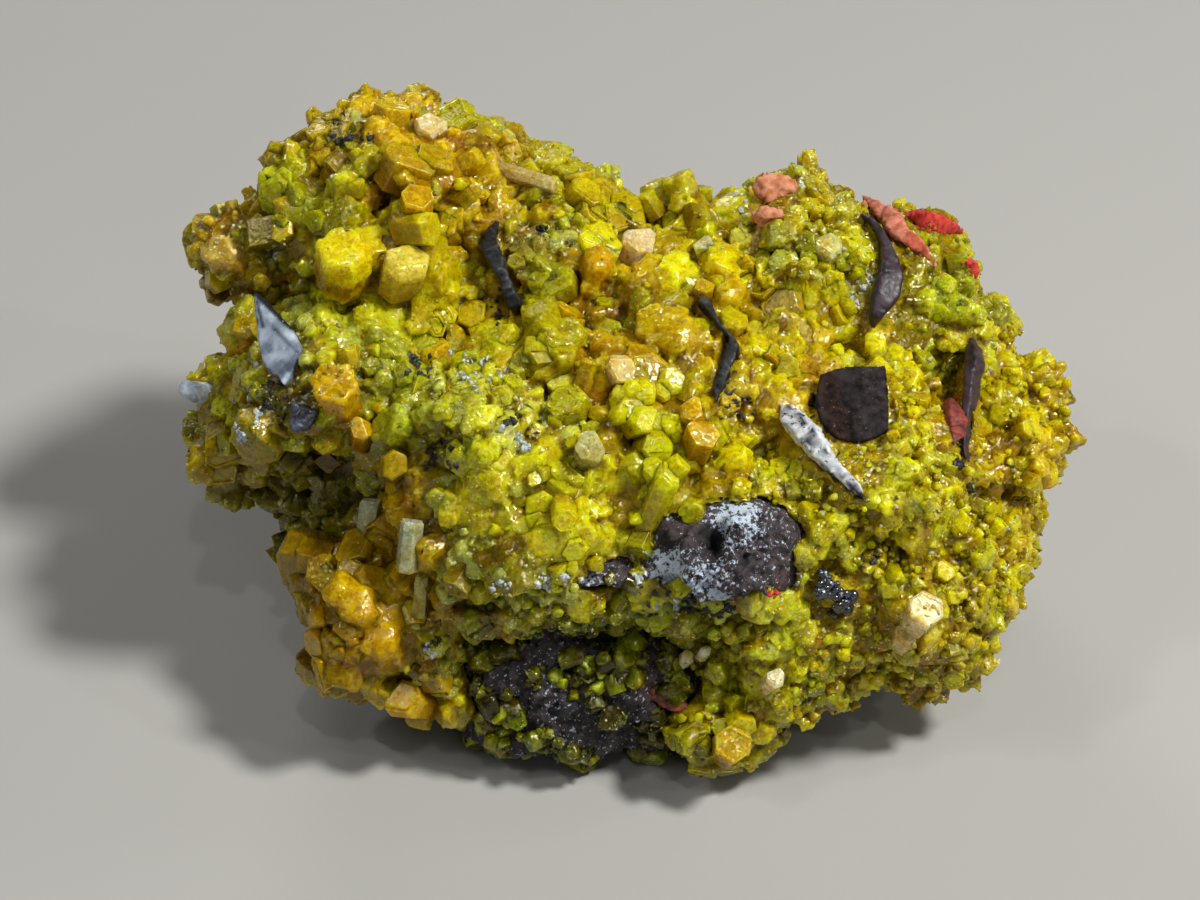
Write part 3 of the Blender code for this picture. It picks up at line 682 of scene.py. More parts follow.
def frameRoom(spots, rockShare, chipShare):  # the widest crystal that still leaves the rock and the chips in sight
    rock = nearest(spots, rockTree, 0.006)[0]
    chip = np.min([nearest(spots, tree, 0.006)[0] for tree in chipTrees.values()], axis=0)
    jag = np.clip(0.5 + 1.2 * noiseField(spots, 2.6, 13, 1), 0, 1)  # here and there a crystal laps over the edge
    return np.minimum((0.45 + 1.5 * jag) * mm + rockShare * rock, (0.2 + 0.8 * jag) * mm + chipShare * chip)


planting = {  # how many crystals, their radius in mm, and how close they stand (1 = side by side)
    "seed": 11,
    "clumps": {"count": 420, "radius": (2.1, 3.7), "closeness": 0.55, "tries": 11000},
    "singles": {"count": 1350, "radius": (1.0, 2.0), "closeness": 0.43, "tries": 20000},
    "small": {"count": 3600, "radius": (0.36, 0.95), "closeness": 0.42, "tries": 30000},
    "grains": {"count": 8000, "radius": (0.13, 0.32), "tries": 24000},
    "glintShare": 0.16,  # of the grains, those given a pale tint as a painted highlight, where they catch the light, most in the frosty zones
    "glintTint": "#F6F2D4",
    "lightBelow": 0.95,  # mm, crystals narrower than this get the light shape without bevels
    "looseShare": (0.22, 0.80),  # of the small crystals, those that stand free: among big ones, and where all are small
    "voxel": 0.265,      # mm, how finely the grown-together mass is made
    "adaptivity": 0.96,
    "facet": 1.05,       # mm, the small faces that the mass is broken into
    "facetDepth": (0.15, 0.36),  # mm, where it's smooth and where it's fine-grained
}
rng = np.random.default_rng(planting["seed"])
skinOutsideFaces = outside[skinFaces].all(1)
crowd = Crowd(5.2 * mm)


def chooseFeet(plan, spots, zoneOf, room):
    low, high = plan["radius"]
    chosen, radii = [], []
    for i, spot in enumerate(spots):
        size = zoneSize[zoneOf[i]]
        radius = min((low + (high - low) * rng.random() ** 1.4) * mm * size, room[i])
        if radius < 0.6 * low * mm * min(size, 1) or not crowd.isFree(spot, radius, plan["closeness"]):
            continue
        crowd.add(spot, radius)
        chosen.append(i)
        radii.append(radius)
        if len(chosen) == plan["count"]:
            break
    return np.array(chosen), np.array(radii)


def rootShadeTintOf(tipTints):  # painted shade: the root end darker and more orange, for light that has gone deeper and the shade between crystals, less so in the pale crystals
    pale = np.clip(tipTints[:, 2:3] / 0.35, 0, 1)
    return np.clip(tipTints * (np.array([0.52, 0.37, 0.12]) * (1 - pale) + np.array([0.9, 0.84, 0.66]) * pale), 0, 1)


# single crystals that stand out: pixel, radius and length in mm, axis (right, up, towards the viewer), tint, frost,
# wear; the cream and near-white tints of the flash crystals are painted highlights
stars = {
    "flashFaceCream": ((640, 238), 2.0, 2.6, (0.30, 0.70, 0.65), "#F2E2C0", 0.05, "crisp"),
    "tabular": ((556, 186), 0.85, 4.4, (0.93, -0.30, 0.22), "#E8D9A0", 0.1, "crisp"),
    "paleSmall": ((703, 243), 1.1, 2.0, (-0.2, 0.5, 0.84), "#CBCFA0", 0.1, "worn"),
    "sparkle": ((622, 368), 1.6, 2.2, (0.35, 0.3, 0.88), "#E8D08A", 0.35, "crisp"),
    "paleHex": ((590, 445), 1.6, 2.6, (0.05, 0.32, 0.94), "#C3C58A", 0.1, "worn"),
    "palePrism": ((412, 522), 1.2, 3.2, (0.12, 0.93, 0.34), "#BDC8B4", 0.1, "crisp"),
    "paleStub": ((372, 500), 1.05, 2.4, (0.15, 0.9, 0.4), "#AEB9A0", 0.15, "crisp"),
    "paleLow": ((423, 574), 0.8, 2.8, (0.1, 0.95, 0.3), "#C5C98C", 0.1, "worn"),
    "gem": ((420, 196), 1.7, 3.0, (0.1, 0.55, 0.82), "#D6B002", 0.0, "crisp"),
    "orangeBig": ((335, 382), 2.3, 3.0, (-0.1, 0.5, 0.86), "#D1B002", 0.1, "merged"),
    "orangeHex": ((362, 427), 1.3, 2.4, (0.1, 0.35, 0.93), "#CBA804", 0.05, "worn"),
    "roundOrange": ((600, 258), 2.0, 3.0, (0.15, 0.55, 0.82), "#D3AC02", 0.0, "rounded"),
    "roundYellow": ((730, 285), 2.2, 3.0, (0.05, 0.5, 0.86), "#D3BC0C", 0.0, "rounded"),
    "yellowA": ((345, 247), 2.6, 3.4, (0.1, 0.6, 0.79), "#F4E818", 0.05, "merged"),
    "yellowB": ((408, 260), 2.4, 3.2, (0.25, 0.5, 0.83), "#E8DC58", 0.3, "worn"),
    "yellowC": ((375, 238), 2.2, 3.2, (0.1, 0.6, 0.79), "#F0E418", 0.05, "merged"),
    "yellowD": ((350, 278), 2.2, 3.0, (0.0, 0.45, 0.89), "#F0E418", 0.05, "merged"),
    "lemonA": ((668, 475), 1.5, 4.6, (0.3, 0.75, 0.6), "#DCE01C", 0.0, "crisp"),
    "lemonB": ((650, 462), 1.2, 4.4, (-0.35, 0.75, 0.55), "#D8DC18", 0.0, "crisp"),
    "lemonC": ((682, 462), 1.2, 4.2, (0.6, 0.6, 0.5), "#DBDC14", 0.0, "crisp"),
    "orangeSparkA": ((705, 432), 1.9, 2.8, (0.2, 0.5, 0.85), "#D6B404", 0.15, "crisp"),
    "orangeSparkB": ((690, 408), 1.4, 2.6, (-0.1, 0.6, 0.8), "#D4B004", 0.15, "crisp"),
    "lowA": ((405, 700), 2.2, 3.6, (-0.35, 0.1, 0.93), "#D3B004", 0.05, "crisp"),
    "lowB": ((352, 600), 2.6, 3.4, (-0.2, 0.3, 0.93), "#D4B200", 0.0, "rounded"),
    "lowC": ((382, 640), 2.4, 3.2, (-0.1, 0.25, 0.95), "#D1AE00", 0.0, "rounded"),
    "lowD": ((330, 585), 2.1, 3.0, (-0.4, 0.3, 0.87), "#D4B402", 0.0, "rounded"),
    "flashSquareA": ((928, 608), 1.9, 2.2, (0.22, 0.40, 0.89), "#F0DFB4", 0.1, "crisp"),
    "flashSquareB": ((905, 632), 1.2, 1.8, (0.1, 0.45, 0.88), "#E8D49A", 0.1, "crisp"),
    "flashHexA": ((689, 655), 0.72, 1.4, (0.25, 0.36, 0.90), "#F4F2E0", 0.1, "plain"),
    "flashHexB": ((706, 649), 0.6, 1.4, (0.2, 0.4, 0.9), "#EDEBD0", 0.1, "plain"),
    "flashChipCream": ((776, 677), 1.1, 1.6, (0.3, 0.35, 0.88), "#EFE3C0", 0.1, "crisp"),
    "frontGlossy": ((735, 745), 2.0, 2.6, (0.15, 0.25, 0.95), "#CCB41C", 0.1, "crisp"),
    "leftPale": ((215, 246), 2.2, 3.0, (-0.5, 0.5, 0.7), "#C9B254", 0.2, "rounded"),
    "besidePlateA": ((244, 303), 1.5, 3.2, (-0.4, 0.5, 0.75), "#C4C41C", 0.3, "merged"),
    "besidePlateB": ((236, 315), 1.7, 3.6, (-0.5, 0.5, 0.7), "#B8C010", 0.25, "merged"),
    "besidePlateC": ((246, 324), 1.8, 3.4, (-0.2, 0.5, 0.85), "#CDB404", 0.1, "merged"),
    "besidePlateD": ((226, 328), 1.9, 3.2, (-0.6, 0.5, 0.6), "#C9CC20", 0.3, "merged"),
    "besidePlateE": ((238, 335), 1.8, 3.2, (-0.3, 0.4, 0.85), "#CFA800", 0.1, "merged"),
    "topFlash": ((432, 122), 1.7, 2.0, (0.25, 0.5, 0.83), "#EFE0B8", 0.3, "crisp"),
    "rightOfBlade": ((830, 245), 1.6, 2.0, (0.2, 0.45, 0.87), "#D2D08C", 0.3, "crisp"),
}

# clumps: a few crystals grown side by side with nearly the same axis
clumpRows = []


def growClump(spot, normal, radius, zone, rng):
    axis = unit(normal + rng.normal(0, 0.32, 3))
    side = unit(np.cross(axis, [0.3, 0.5, 0.8]))
    other = np.cross(axis, side)
    spin = rng.uniform(0, math.pi)
    family = pickTints(spot[None], [zone], rng)[0]
    fan = rng.choice([0.05, 0.12, 0.3], p=[0.5, 0.35, 0.15])
    for member in range(rng.integers(4, 9)):
        reach = 0 if member == 0 else radius * rng.uniform(0.35, 0.85)
        around = rng.uniform(0, 2 * math.pi)
        offset = side * math.cos(around) * reach + other * math.sin(around) * reach
        size = radius * (rng.uniform(0.6, 0.9) if member == 0 else rng.uniform(0.36, 0.68))
        clumpRows.append((
            spot + offset - axis * radius * rng.uniform(0.05, 0.3),
            axis + offset / radius * fan * 2 + rng.normal(0, 0.03, 3),
            spin + rng.normal(0, 0.05),
            size,
            radius * rng.uniform(0.42, 0.85),
            family * math.exp(rng.normal(0, 0.05)),
            zoneFrost[zone] * rng.uniform(0.2, 1.2),
        ))


starRows = {"worn": [], "crisp": [], "rounded": [], "plain": [], "merged": []}
starTops = []
for name, (pixel, radius, length, turn, tint, frost, wear) in stars.items():
    spot = zonePlace(pixel)
    start, direction = (np.array(side) for side in pixelRay(*pixel))
    spot = start + direction * ((spot - start) @ direction)
    axis = unit(turn[0] * np.array([1, 0, 0]) + turn[1] * np.array(cameraUp) - turn[2] * np.array(cameraForward))
    top = spot - np.array(cameraForward) * (0.15 + 0.85 * turn[2]) * mm
    starTops.append((top, radius * mm))
    crowd.add(tuple(top - axis * length * 0.5 * mm), radius * mm * 1.15)
    starRows[wear].append((top - axis * length * mm, axis, rng.uniform(0, math.pi), radius * mm, length * mm,
                           np.array(linear(tint)), frost))

spots, picked, _ = samplePoints(skinPoints, skinFaces, skinOutsideFaces, planting["clumps"]["tries"], rng)
spotNormals = unit(skinNormals[skinFaces[picked]].mean(1))
zoneOf = pickZones(spots, rng)
chosen, radii = chooseFeet(planting["clumps"], spots, zoneOf, frameRoom(spots, 0.55, 0.6))
for i, radius in zip(chosen, radii):
    growClump(spots[i], spotNormals[i], radius, zoneOf[i], rng)
print("clumps:", len(chosen), "with", len(clumpRows), "crystals")

# single crystals between the clumps
spots, picked, _ = samplePoints(skinPoints, skinFaces, skinOutsideFaces, planting["singles"]["tries"], rng)
spotNormals = unit(skinNormals[skinFaces[picked]].mean(1))
zoneOf = pickZones(spots, rng)
chosen, radii = chooseFeet(planting["singles"], spots, zoneOf, frameRoom(spots, 0.7, 0.8))
singleRows = [
    spots[chosen] - spotNormals[chosen] * radii[:, None] * 0.15,
    unit(spotNormals[chosen] + rng.normal(0, 0.5, (len(chosen), 3))),
    rng.uniform(0, math.pi, len(chosen)),
    radii,
    radii * rng.uniform(0.6, 1.25, len(chosen)),
    pickTints(spots[chosen], zoneOf[chosen], rng),
    zoneFrost[zoneOf[chosen]] * rng.uniform(0.1, 1.3, len(chosen)),
]
print("single crystals:", len(chosen))


def columnsOf(rows):
    return [np.array(column) for column in zip(*rows)]


def plantColumns(kind, columns, rng):
    feet, axes, spins, widths, heights, tipTints, frosts = columns
    tipTints = tipTints * np.clip(0.80 + 0.5 * unit(axes)[:, 2:3], 0.55, 1)  # painted shade: darker on the undersides
    which = rng.integers(0, 100, len(feet))
    return plant(kind, which, feet, axes, spins, widths, heights, tipTints, rootShadeTintOf(tipTints), frosts)


def clearOfStars(columns):  # leaves out a crystal that would hide one of those that stand out
    tips = columns[0] + unit(columns[1]) * columns[4][:, None]
    keep = np.ones(len(tips), bool)
    for top, radius in starTops:
        apart = tips - top
        nearness = -(apart @ np.array(cameraForward))
        sideways = np.linalg.norm(apart + nearness[:, None] * np.array(cameraForward), axis=1)
        keep &= (sideways > 0.85 * radius + 0.5 * columns[3]) | (nearness < -0.9 * mm) | (nearness > 12 * mm)
    return [column[keep] for column in columns]


crystals = clearOfStars([np.concatenate(pair) for pair in zip(columnsOf(clumpRows), singleRows)])
kinds = rng.choice(["merged", "rounded", "worn", "crisp"], len(crystals[0]), p=[0.40, 0.14, 0.12, 0.34])
light = np.isin(kinds, ["worn", "crisp"]) & (crystals[3] < planting["lightBelow"] * mm)
kinds[light] = np.where(rng.random(light.sum()) < 0.55, "merged", "plain")
grown = {}
for kind in ("merged", "rounded", "worn", "crisp"):
    columns = [column[kinds == kind] for column in crystals]
    if starRows.get(kind):
        columns = [np.concatenate(pair) for pair in zip(columns, columnsOf(starRows[kind]))]
    grown[kind] = plantColumns(kind, columns, rng)
    print(kind, "crystals:", len(columns[0]), "triangles:", len(grown[kind][1]))


def joinArrays(*sets):  # several (points, faces, tint, frost) sets as one
    points, faces, tint, frost, start = [], [], [], [], 0
    for somePoints, someFaces, someTint, someFrost in sets:
        points.append(somePoints)
        faces.append(someFaces + start)
        tint.append(someTint)
        frost.append(someFrost)
        start += len(somePoints)
    return np.concatenate(points), np.concatenate(faces), np.concatenate(tint), np.concatenate(frost)


# small crystals fill the gaps between the big ones, most of all where the crust is fine-grained
fineness = skinOutsideFaces * (0.06 + zoneValue(skinPoints[skinFaces].mean(1), zoneDruse) ** 1.6)
spots, picked, _ = samplePoints(skinPoints, skinFaces, fineness, planting["small"]["tries"], rng)
spotNormals = unit(skinNormals[skinFaces[picked]].mean(1))
zoneOf = pickZones(spots, rng)
chosen, radii = chooseFeet(planting["small"], spots, zoneOf, frameRoom(spots, 0.9, 0.9))
smallColumns = [
    spots[chosen] + spotNormals[chosen] * radii[:, None] * 0.2,
    unit(spotNormals[chosen] + rng.normal(0, 0.5, (len(chosen), 3))),
    rng.uniform(0, math.pi, len(chosen)),
    radii,
    radii * rng.uniform(0.8, 1.8, len(chosen)),
    pickTints(spots[chosen], zoneOf[chosen], rng),
    zoneFrost[zoneOf[chosen]] * rng.uniform(0.1, 1.4, len(chosen)),
]
lightColumns = [column[kinds == "plain"] for column in crystals]
isClear = np.array([all(np.linalg.norm(spot - top) > radius * 1.05 for top, radius in starTops) for spot in spots[chosen]])
chosen, radii, smallColumns = chosen[isClear], radii[isClear], [column[isClear] for column in smallColumns]
loose = rng.random(len(chosen)) < np.where(zoneSize[zoneOf[chosen]] < 0.72, *planting["looseShare"][::-1])
grown["mergedSmall"] = plantColumns("plain", [column[~loose] for column in smallColumns], rng)
smallColumns = [column[loose] for column in smallColumns]
smallColumns = [np.concatenate(group) for group in zip(smallColumns, lightColumns, columnsOf(starRows["plain"]))]
grown["plain"] = plantColumns("plain", smallColumns, rng)
print("small crystals:", len(smallColumns[0]), "triangles:", len(grown["plain"][1]))

# the mass: skin and crystals grown together into one body
# painted shade: the skin between the crystals and round the pockets is darker and more orange, and darker still in the
# crevices
skinShadedTint = pickTints(skinPoints, pickZones(skinPoints, rng), rng) * np.array([0.64, 0.50, 0.24])
skinShadedTint *= 1 - 0.65 * creviceShade[:, None]
massParts = [(skinPoints, skinFaces, skinShadedTint, zoneValue(skinPoints, zoneFrost) * (1 - creviceShade))]
for points, faces in pocketPlugs:
    plugShadedTint = pickTints(points, pickZones(points, rng), rng) * np.array([0.64, 0.50, 0.24])
    massParts.append((points, faces, plugShadedTint, zoneValue(points, zoneFrost)))
massParts += [grown.pop(kind) for kind in ("merged", "rounded", "mergedSmall")]
mass, normals = fuse(joinArrays(*massParts), planting["voxel"], 0)
fineGrown = np.concatenate([zoneValue(part, zoneDruse) for part in np.array_split(mass[0], 60)])
low, high = planting["facetDepth"]
lift = facetField(mass[0], planting["facet"], 91) * (low + (high - low) * fineGrown) * mm
grown["mass"], _ = fuse((mass[0] + normals * lift[:, None], *mass[1:]), planting["voxel"], planting["adaptivity"])
print("mass:", len(grown["mass"][1]), "triangles")

# grains: a sugary crust of tiny crystals on whatever is already there
everything = joinArrays(*grown.values())
coverTree = treeOf(everything[0], everything[1])
faceCentres = everything[0][everything[1]].mean(1)
faceDruse = zoneValue(faceCentres, zoneDruse) ** 2 * (nearest(faceCentres, rockTree, 0.001)[0] > 0.4 * mm)
spots, picked, facing = samplePoints(everything[0], everything[1], faceDruse, planting["grains"]["tries"], rng)
clear = np.array([coverTree.ray_cast(Vector(p + n * 0.05 * mm), Vector(n), 1.5 * mm)[0] is None
                  for p, n in zip(spots, facing)])
clear &= frameRoom(spots, 0.5, 0.5) > 0.4 * mm
chosen = np.flatnonzero(clear)[:planting["grains"]["count"]]
low, high = planting["grains"]["radius"]
radii = (low + (high - low) * rng.random(len(chosen)) ** 1.5) * mm
zoneOf = pickZones(spots[chosen], rng)
grainTints = 0.55 * pickTints(spots[chosen], zoneOf, rng) + 0.45 * everything[2][everything[1][picked[chosen], 0]]
glint = rng.random(len(chosen)) < planting["glintShare"] * (0.25 + zoneFrost[zoneOf])
# painted highlight: the glint grains take a pale tint
grainTints[glint] = np.array(linear(planting["glintTint"])) * rng.uniform(0.6, 1, (glint.sum(), 1))
radii[glint] *= 1.35
grainColumns = [
    spots[chosen],
    unit(facing[chosen] + rng.normal(0, 0.7, (len(chosen), 3))),
    rng.uniform(0, math.pi, len(chosen)),
    radii,
    radii * rng.uniform(0.8, 1.9, len(chosen)),
    grainTints,
    np.clip(zoneFrost[zoneOf] * rng.uniform(0.5, 1.6, len(chosen)), 0, 1),
]
grown["grain"] = plantColumns("grain", grainColumns, rng)
print("grains:", len(chosen), "triangles:", len(grown["grain"][1]))


# ---- materials ----

mimetite = {
    "cloud": 1.3,            # mm, cloudy zoning inside a crystal
    "mosaic": 0.25,          # mm, the small blocks that a crystal's end is made of
    "striation": 0.20,       # mm between the growth lines on a crystal's faces
    "veil": 1.5,             # mm, soft patches of frost
    "veilTint": "#C4CE7A",
    "fleck": 0.17,           # mm, painted highlights of single tiny faces; the real ones are finer than a pixel, drawn coarser
    "fleckGlintTint": "#F6F4B8",
    "depthTint": "#DCC050",
    "shineTint": "#FFF1C8",
    "ior": 1.6,
    "scatter": (1.35, 1.25, 0.14),  # how far red, green and blue light travel inside, times the scale in mm
}


def perMm(size):  # texture scale for a pattern of this size in mm, with coordinates in metres
    return 1 / (size * mm)


def mimetiteMaterial(name, scatterScale, mosaicTilt, depth, roughness):
    # mimetite, grown from solution: resinous lustre, cloudy yellow that lets light a little way in
    material, tree = newMaterial(name)
    place = addNode(tree, "ShaderNodeNewGeometry").outputs["Position"]
    tint = addNode(tree, "ShaderNodeAttribute", {"attribute_name": "tint"}).outputs["Color"]
    frost = addNode(tree, "ShaderNodeAttribute", {"attribute_name": "frost"}).outputs["Fac"]
    cloud = addNode(tree, "ShaderNodeTexNoise", {"Scale": perMm(mimetite["cloud"]), "Detail": 3.0},
                    {"Vector": place})
    mosaic = addNode(tree, "ShaderNodeTexVoronoi", {"Scale": perMm(mimetite["mosaic"])}, {"Vector": place})
    cloudShade = addNode(tree, "ShaderNodeMapRange",
                         {"From Min": 0.32, "From Max": 0.68, "To Min": 0.0, "To Max": 1.0},
                         {"Value": cloud.outputs["Fac"]})
    deep = addNode(tree, "ShaderNodeMix", {"data_type": "RGBA", "blend_type": "MULTIPLY", 0: depth,
                                           7: linear(mimetite["depthTint"]) + [1]}, {6: tint})
    cloudy = addNode(tree, "ShaderNodeMix", {"data_type": "RGBA"},
                     {0: cloudShade.outputs["Result"], 6: deep.outputs[2], 7: tint})
    cell = addNode(tree, "ShaderNodeSeparateColor", {}, {0: mosaic.outputs["Color"]})
    cellShade = addNode(tree, "ShaderNodeMapRange", {"To Min": 0.74, "To Max": 1.22}, {"Value": cell.outputs[0]})
    shaded = addNode(tree, "ShaderNodeVectorMath", {"operation": "SCALE"},
                     {0: cloudy.outputs[2], "Scale": cellShade.outputs["Result"]})
    # frost: a pale veil in soft patches, and fine bright flecks, a painted highlight where tiny faces would catch the
    # light
    veilNoise = addNode(tree, "ShaderNodeTexNoise", {"Scale": perMm(mimetite["veil"]), "Detail": 4.0,
                                                     "Roughness": 0.65}, {"Vector": place})
    veilSum = addNode(tree, "ShaderNodeMath", {"operation": "MULTIPLY_ADD", 1: 0.35}, {0: frost, 2: veilNoise.outputs["Fac"]})
    veil = addNode(tree, "ShaderNodeMapRange", {"From Min": 0.66, "From Max": 0.95, "To Max": 0.5},
                   {"Value": veilSum.outputs[0]})
    veiled = addNode(tree, "ShaderNodeMix", {"data_type": "RGBA", 7: linear(mimetite["veilTint"]) + [1]},
                     {0: veil.outputs["Result"], 6: shaded.outputs[0]})
    fleckCells = addNode(tree, "ShaderNodeTexVoronoi", {"Scale": perMm(mimetite["fleck"])}, {"Vector": place})
    fleckParts = addNode(tree, "ShaderNodeSeparateColor", {}, {0: fleckCells.outputs["Color"]})
    fleckSum = addNode(tree, "ShaderNodeMath", {"operation": "MULTIPLY_ADD", 1: 0.09},
                       {0: frost, 2: fleckParts.outputs[0]})
    # painted highlight: where the flecks show, the colour turns to the pale glint tint
    fleckGlintShare = addNode(tree, "ShaderNodeMapRange", {"From Min": 1.0, "From Max": 1.02, "To Max": 0.85},
                         {"Value": fleckSum.outputs[0]})
    colour = addNode(tree, "ShaderNodeMix", {"data_type": "RGBA", 7: linear(mimetite["fleckGlintTint"]) + [1]},
                     {0: fleckGlintShare.outputs["Result"], 6: veiled.outputs[2]})
    low, high = roughness
    dull = addNode(tree, "ShaderNodeMapRange", {"To Min": low, "To Max": high}, {"Value": cell.outputs[1]})
    duller = addNode(tree, "ShaderNodeMath", {"operation": "MULTIPLY_ADD", 1: 0.2},
                     {0: veil.outputs["Result"], 2: dull.outputs["Result"]})
    # every cell of the mosaic faces its own way by a little, so that single spots flash
    lean = addNode(tree, "ShaderNodeVectorMath", {"operation": "SUBTRACT", 1: (0.5, 0.5, 0.5)},
                   {0: mosaic.outputs["Color"]})
    leanAmount = addNode(tree, "ShaderNodeMath", {"operation": "MULTIPLY_ADD", 1: 0.5, 2: mosaicTilt}, {0: frost})
    leaned = addNode(tree, "ShaderNodeVectorMath", {"operation": "SCALE"},
                     {0: lean.outputs[0], "Scale": leanAmount.outputs[0]})
    geometry = addNode(tree, "ShaderNodeNewGeometry")
    facing = addNode(tree, "ShaderNodeVectorMath", {"operation": "ADD"},
                     {0: geometry.outputs["Normal"], 1: leaned.outputs[0]})
    facingUnit = addNode(tree, "ShaderNodeVectorMath", {"operation": "NORMALIZE"}, {0: facing.outputs[0]})
    lines = addNode(tree, "ShaderNodeTexNoise", {"Scale": perMm(mimetite["striation"]), "Detail": 3.0},
                    {"Vector": place})
    bump = addNode(tree, "ShaderNodeBump", {"Strength": 0.5, "Distance": 0.05 * mm},
                   {"Height": lines.outputs["Fac"], "Normal": facingUnit.outputs[0]})
    shader = addNode(tree, "ShaderNodeBsdfPrincipled",
                     {"IOR": mimetite["ior"], "Specular Tint": linear(mimetite["shineTint"]) + [1],
                      "Subsurface Weight": 1.0, "Subsurface Scale": scatterScale * mm,
                      "Subsurface Radius": mimetite["scatter"]},
                     {"Base Color": colour.outputs[2], "Roughness": duller.outputs[0],
                      "Normal": bump.outputs["Normal"]})
    closeMaterial(tree, shader)
    return material


crystalMaterial = mimetiteMaterial("mimetiteCrystalResinous", 1.3, 0.12, 0.8, (0.06, 0.36))
massMaterial = mimetiteMaterial("mimetiteMassResinous", 2.0, 0.18, 0.9, (0.06, 0.36))
grainMaterial = mimetiteMaterial("mimetiteDruseGlassy", 0.6, 0.04, 0.5, (0.03, 0.16))


# ---- pieces ----

massPoints, massFaces, massTint, massFrost = grown.pop("mass")
massDepths = massPoints[massFaces].mean(1)[:, 1]
massBehind = massDepths > np.median(massDepths)  # two pieces, so that neither gets too heavy
for side, name in ((~massBehind, "massFront"), (massBehind, "massBack")):
    used, renumbered = np.unique(massFaces[side], return_inverse=True)
    grown[name] = (massPoints[used], renumbered.reshape(-1, 3), massTint[used], massFrost[used])
    print(name, len(grown[name][1]), "triangles")
for kind, pieceName, material, replaced in (
        ("massFront", "mimetiteMassFront", massMaterial, ["mimetite_crust"]),
        ("massBack", "mimetiteMassBack", massMaterial, ["mimetite_crust"]),
        ("worn", "crystalsWorn", crystalMaterial, []),
        ("crisp", "crystalsCrisp", crystalMaterial, []),
        ("plain", "crystalsSmall", crystalMaterial, []),
        ("grain", "crystalGrains", grainMaterial, [])):
    addPiece(pieceName, meshFromArrays(pieceName, *grown[kind]), material, "mimetite", *replaced)

print("mimetite pieces made")


# ---- the other minerals ----

def pixelsOf(points):  # where world points are seen, in pixels
    offset = points - np.array(cameraPlace)
    depth = offset @ np.array(cameraForward)
    scale = camera["distance"] / (depth * camera["pixel"])
    return np.stack([600 + offset[:, 0] * scale, 450 - (offset @ np.array(cameraUp)) * scale], 1)


def roughen(points, normals, depth, size, seed):  # a broken surface: waves, sharp creases and grit
    wave = noiseField(points, size, seed, 4)
    crease = np.abs(noiseField(points, size * 0.8, seed + 3, 2))
    grit = noiseField(points, size * 0.18, seed + 5, 2)
    return points + normals * (depth * (0.6 * wave - 0.9 * np.clip(0.22 - crease, 0, 1) + 0.22 * grit))[:, None] * mm


def mineralMaterial(name, look):
    # look: colours dark and light, patch size, spot colour, size and share, roughness, grit size and depth, ior
    material, tree = newMaterial(name)
    place = addNode(tree, "ShaderNodeNewGeometry").outputs["Position"]
    tint = addNode(tree, "ShaderNodeAttribute", {"attribute_name": "tint"}).outputs["Color"]
    frost = addNode(tree, "ShaderNodeAttribute", {"attribute_name": "frost"}).outputs["Fac"]
    patch = addNode(tree, "ShaderNodeTexNoise", {"Scale": perMm(look["patch"]), "Detail": 6.0}, {"Vector": place})
    share = addNode(tree, "ShaderNodeMapRange", {"From Min": 0.36, "From Max": 0.62}, {"Value": patch.outputs["Fac"]})
    ground = addNode(tree, "ShaderNodeMix", {"data_type": "RGBA", 6: linear(look["dark"]) + [1],
                                             7: linear(look["light"]) + [1]}, {0: share.outputs["Result"]})
    tinted = addNode(tree, "ShaderNodeMix", {"data_type": "RGBA", "blend_type": "MULTIPLY", 0: 1.0},
                     {6: ground.outputs[2], 7: tint})
    spots = addNode(tree, "ShaderNodeTexNoise", {"Scale": perMm(look["spotSize"]), "Detail": 4.0, "Roughness": 0.7},
                    {"Vector": place})
    spotSum = addNode(tree, "ShaderNodeMath", {"operation": "MULTIPLY_ADD", 1: 0.22},
                      {0: frost, 2: spots.outputs["Fac"]})
    spotMask = addNode(tree, "ShaderNodeMapRange",
                       {"From Min": look["spotsAbove"], "From Max": look["spotsAbove"] + 0.07},
                       {"Value": spotSum.outputs[0]})
    colour = addNode(tree, "ShaderNodeMix", {"data_type": "RGBA", 7: linear(look["spot"]) + [1]},
                     {0: spotMask.outputs["Result"], 6: tinted.outputs[2]})
    grit = addNode(tree, "ShaderNodeTexNoise", {"Scale": perMm(look["grit"]), "Detail": 5.0, "Roughness": 0.65},
                   {"Vector": place})
    low, high = look["roughness"]
    dull = addNode(tree, "ShaderNodeMapRange", {"From Min": 0.35, "From Max": 0.65, "To Min": low, "To Max": high},
                   {"Value": grit.outputs["Fac"]})
    bump = addNode(tree, "ShaderNodeBump", {"Strength": 0.8, "Distance": look["gritDepth"] * mm},
                   {"Height": grit.outputs["Fac"]})
    shader = addNode(tree, "ShaderNodeBsdfPrincipled",
                     {"IOR": look["ior"], "Specular IOR Level": look.get("shine", 0.5)},
                     {"Base Color": colour.outputs[2], "Roughness": dull.outputs["Result"],
                      "Normal": bump.outputs["Normal"]})
    closeMaterial(tree, shader)
    return material


def nearPixels(points, patches):  # how much each point lies in these patches of (x, y, reach in mm), from 0 to 1
    inside = np.zeros(len(points))
    for x, y, reach in patches:
        spot, _ = pixelPoint(x, y, crustTree, rockTree)
        if spot is not None:
            inside = np.maximum(inside, np.exp(-(np.linalg.norm(points - spot, axis=1) / (reach * mm)) ** 2))
    return inside


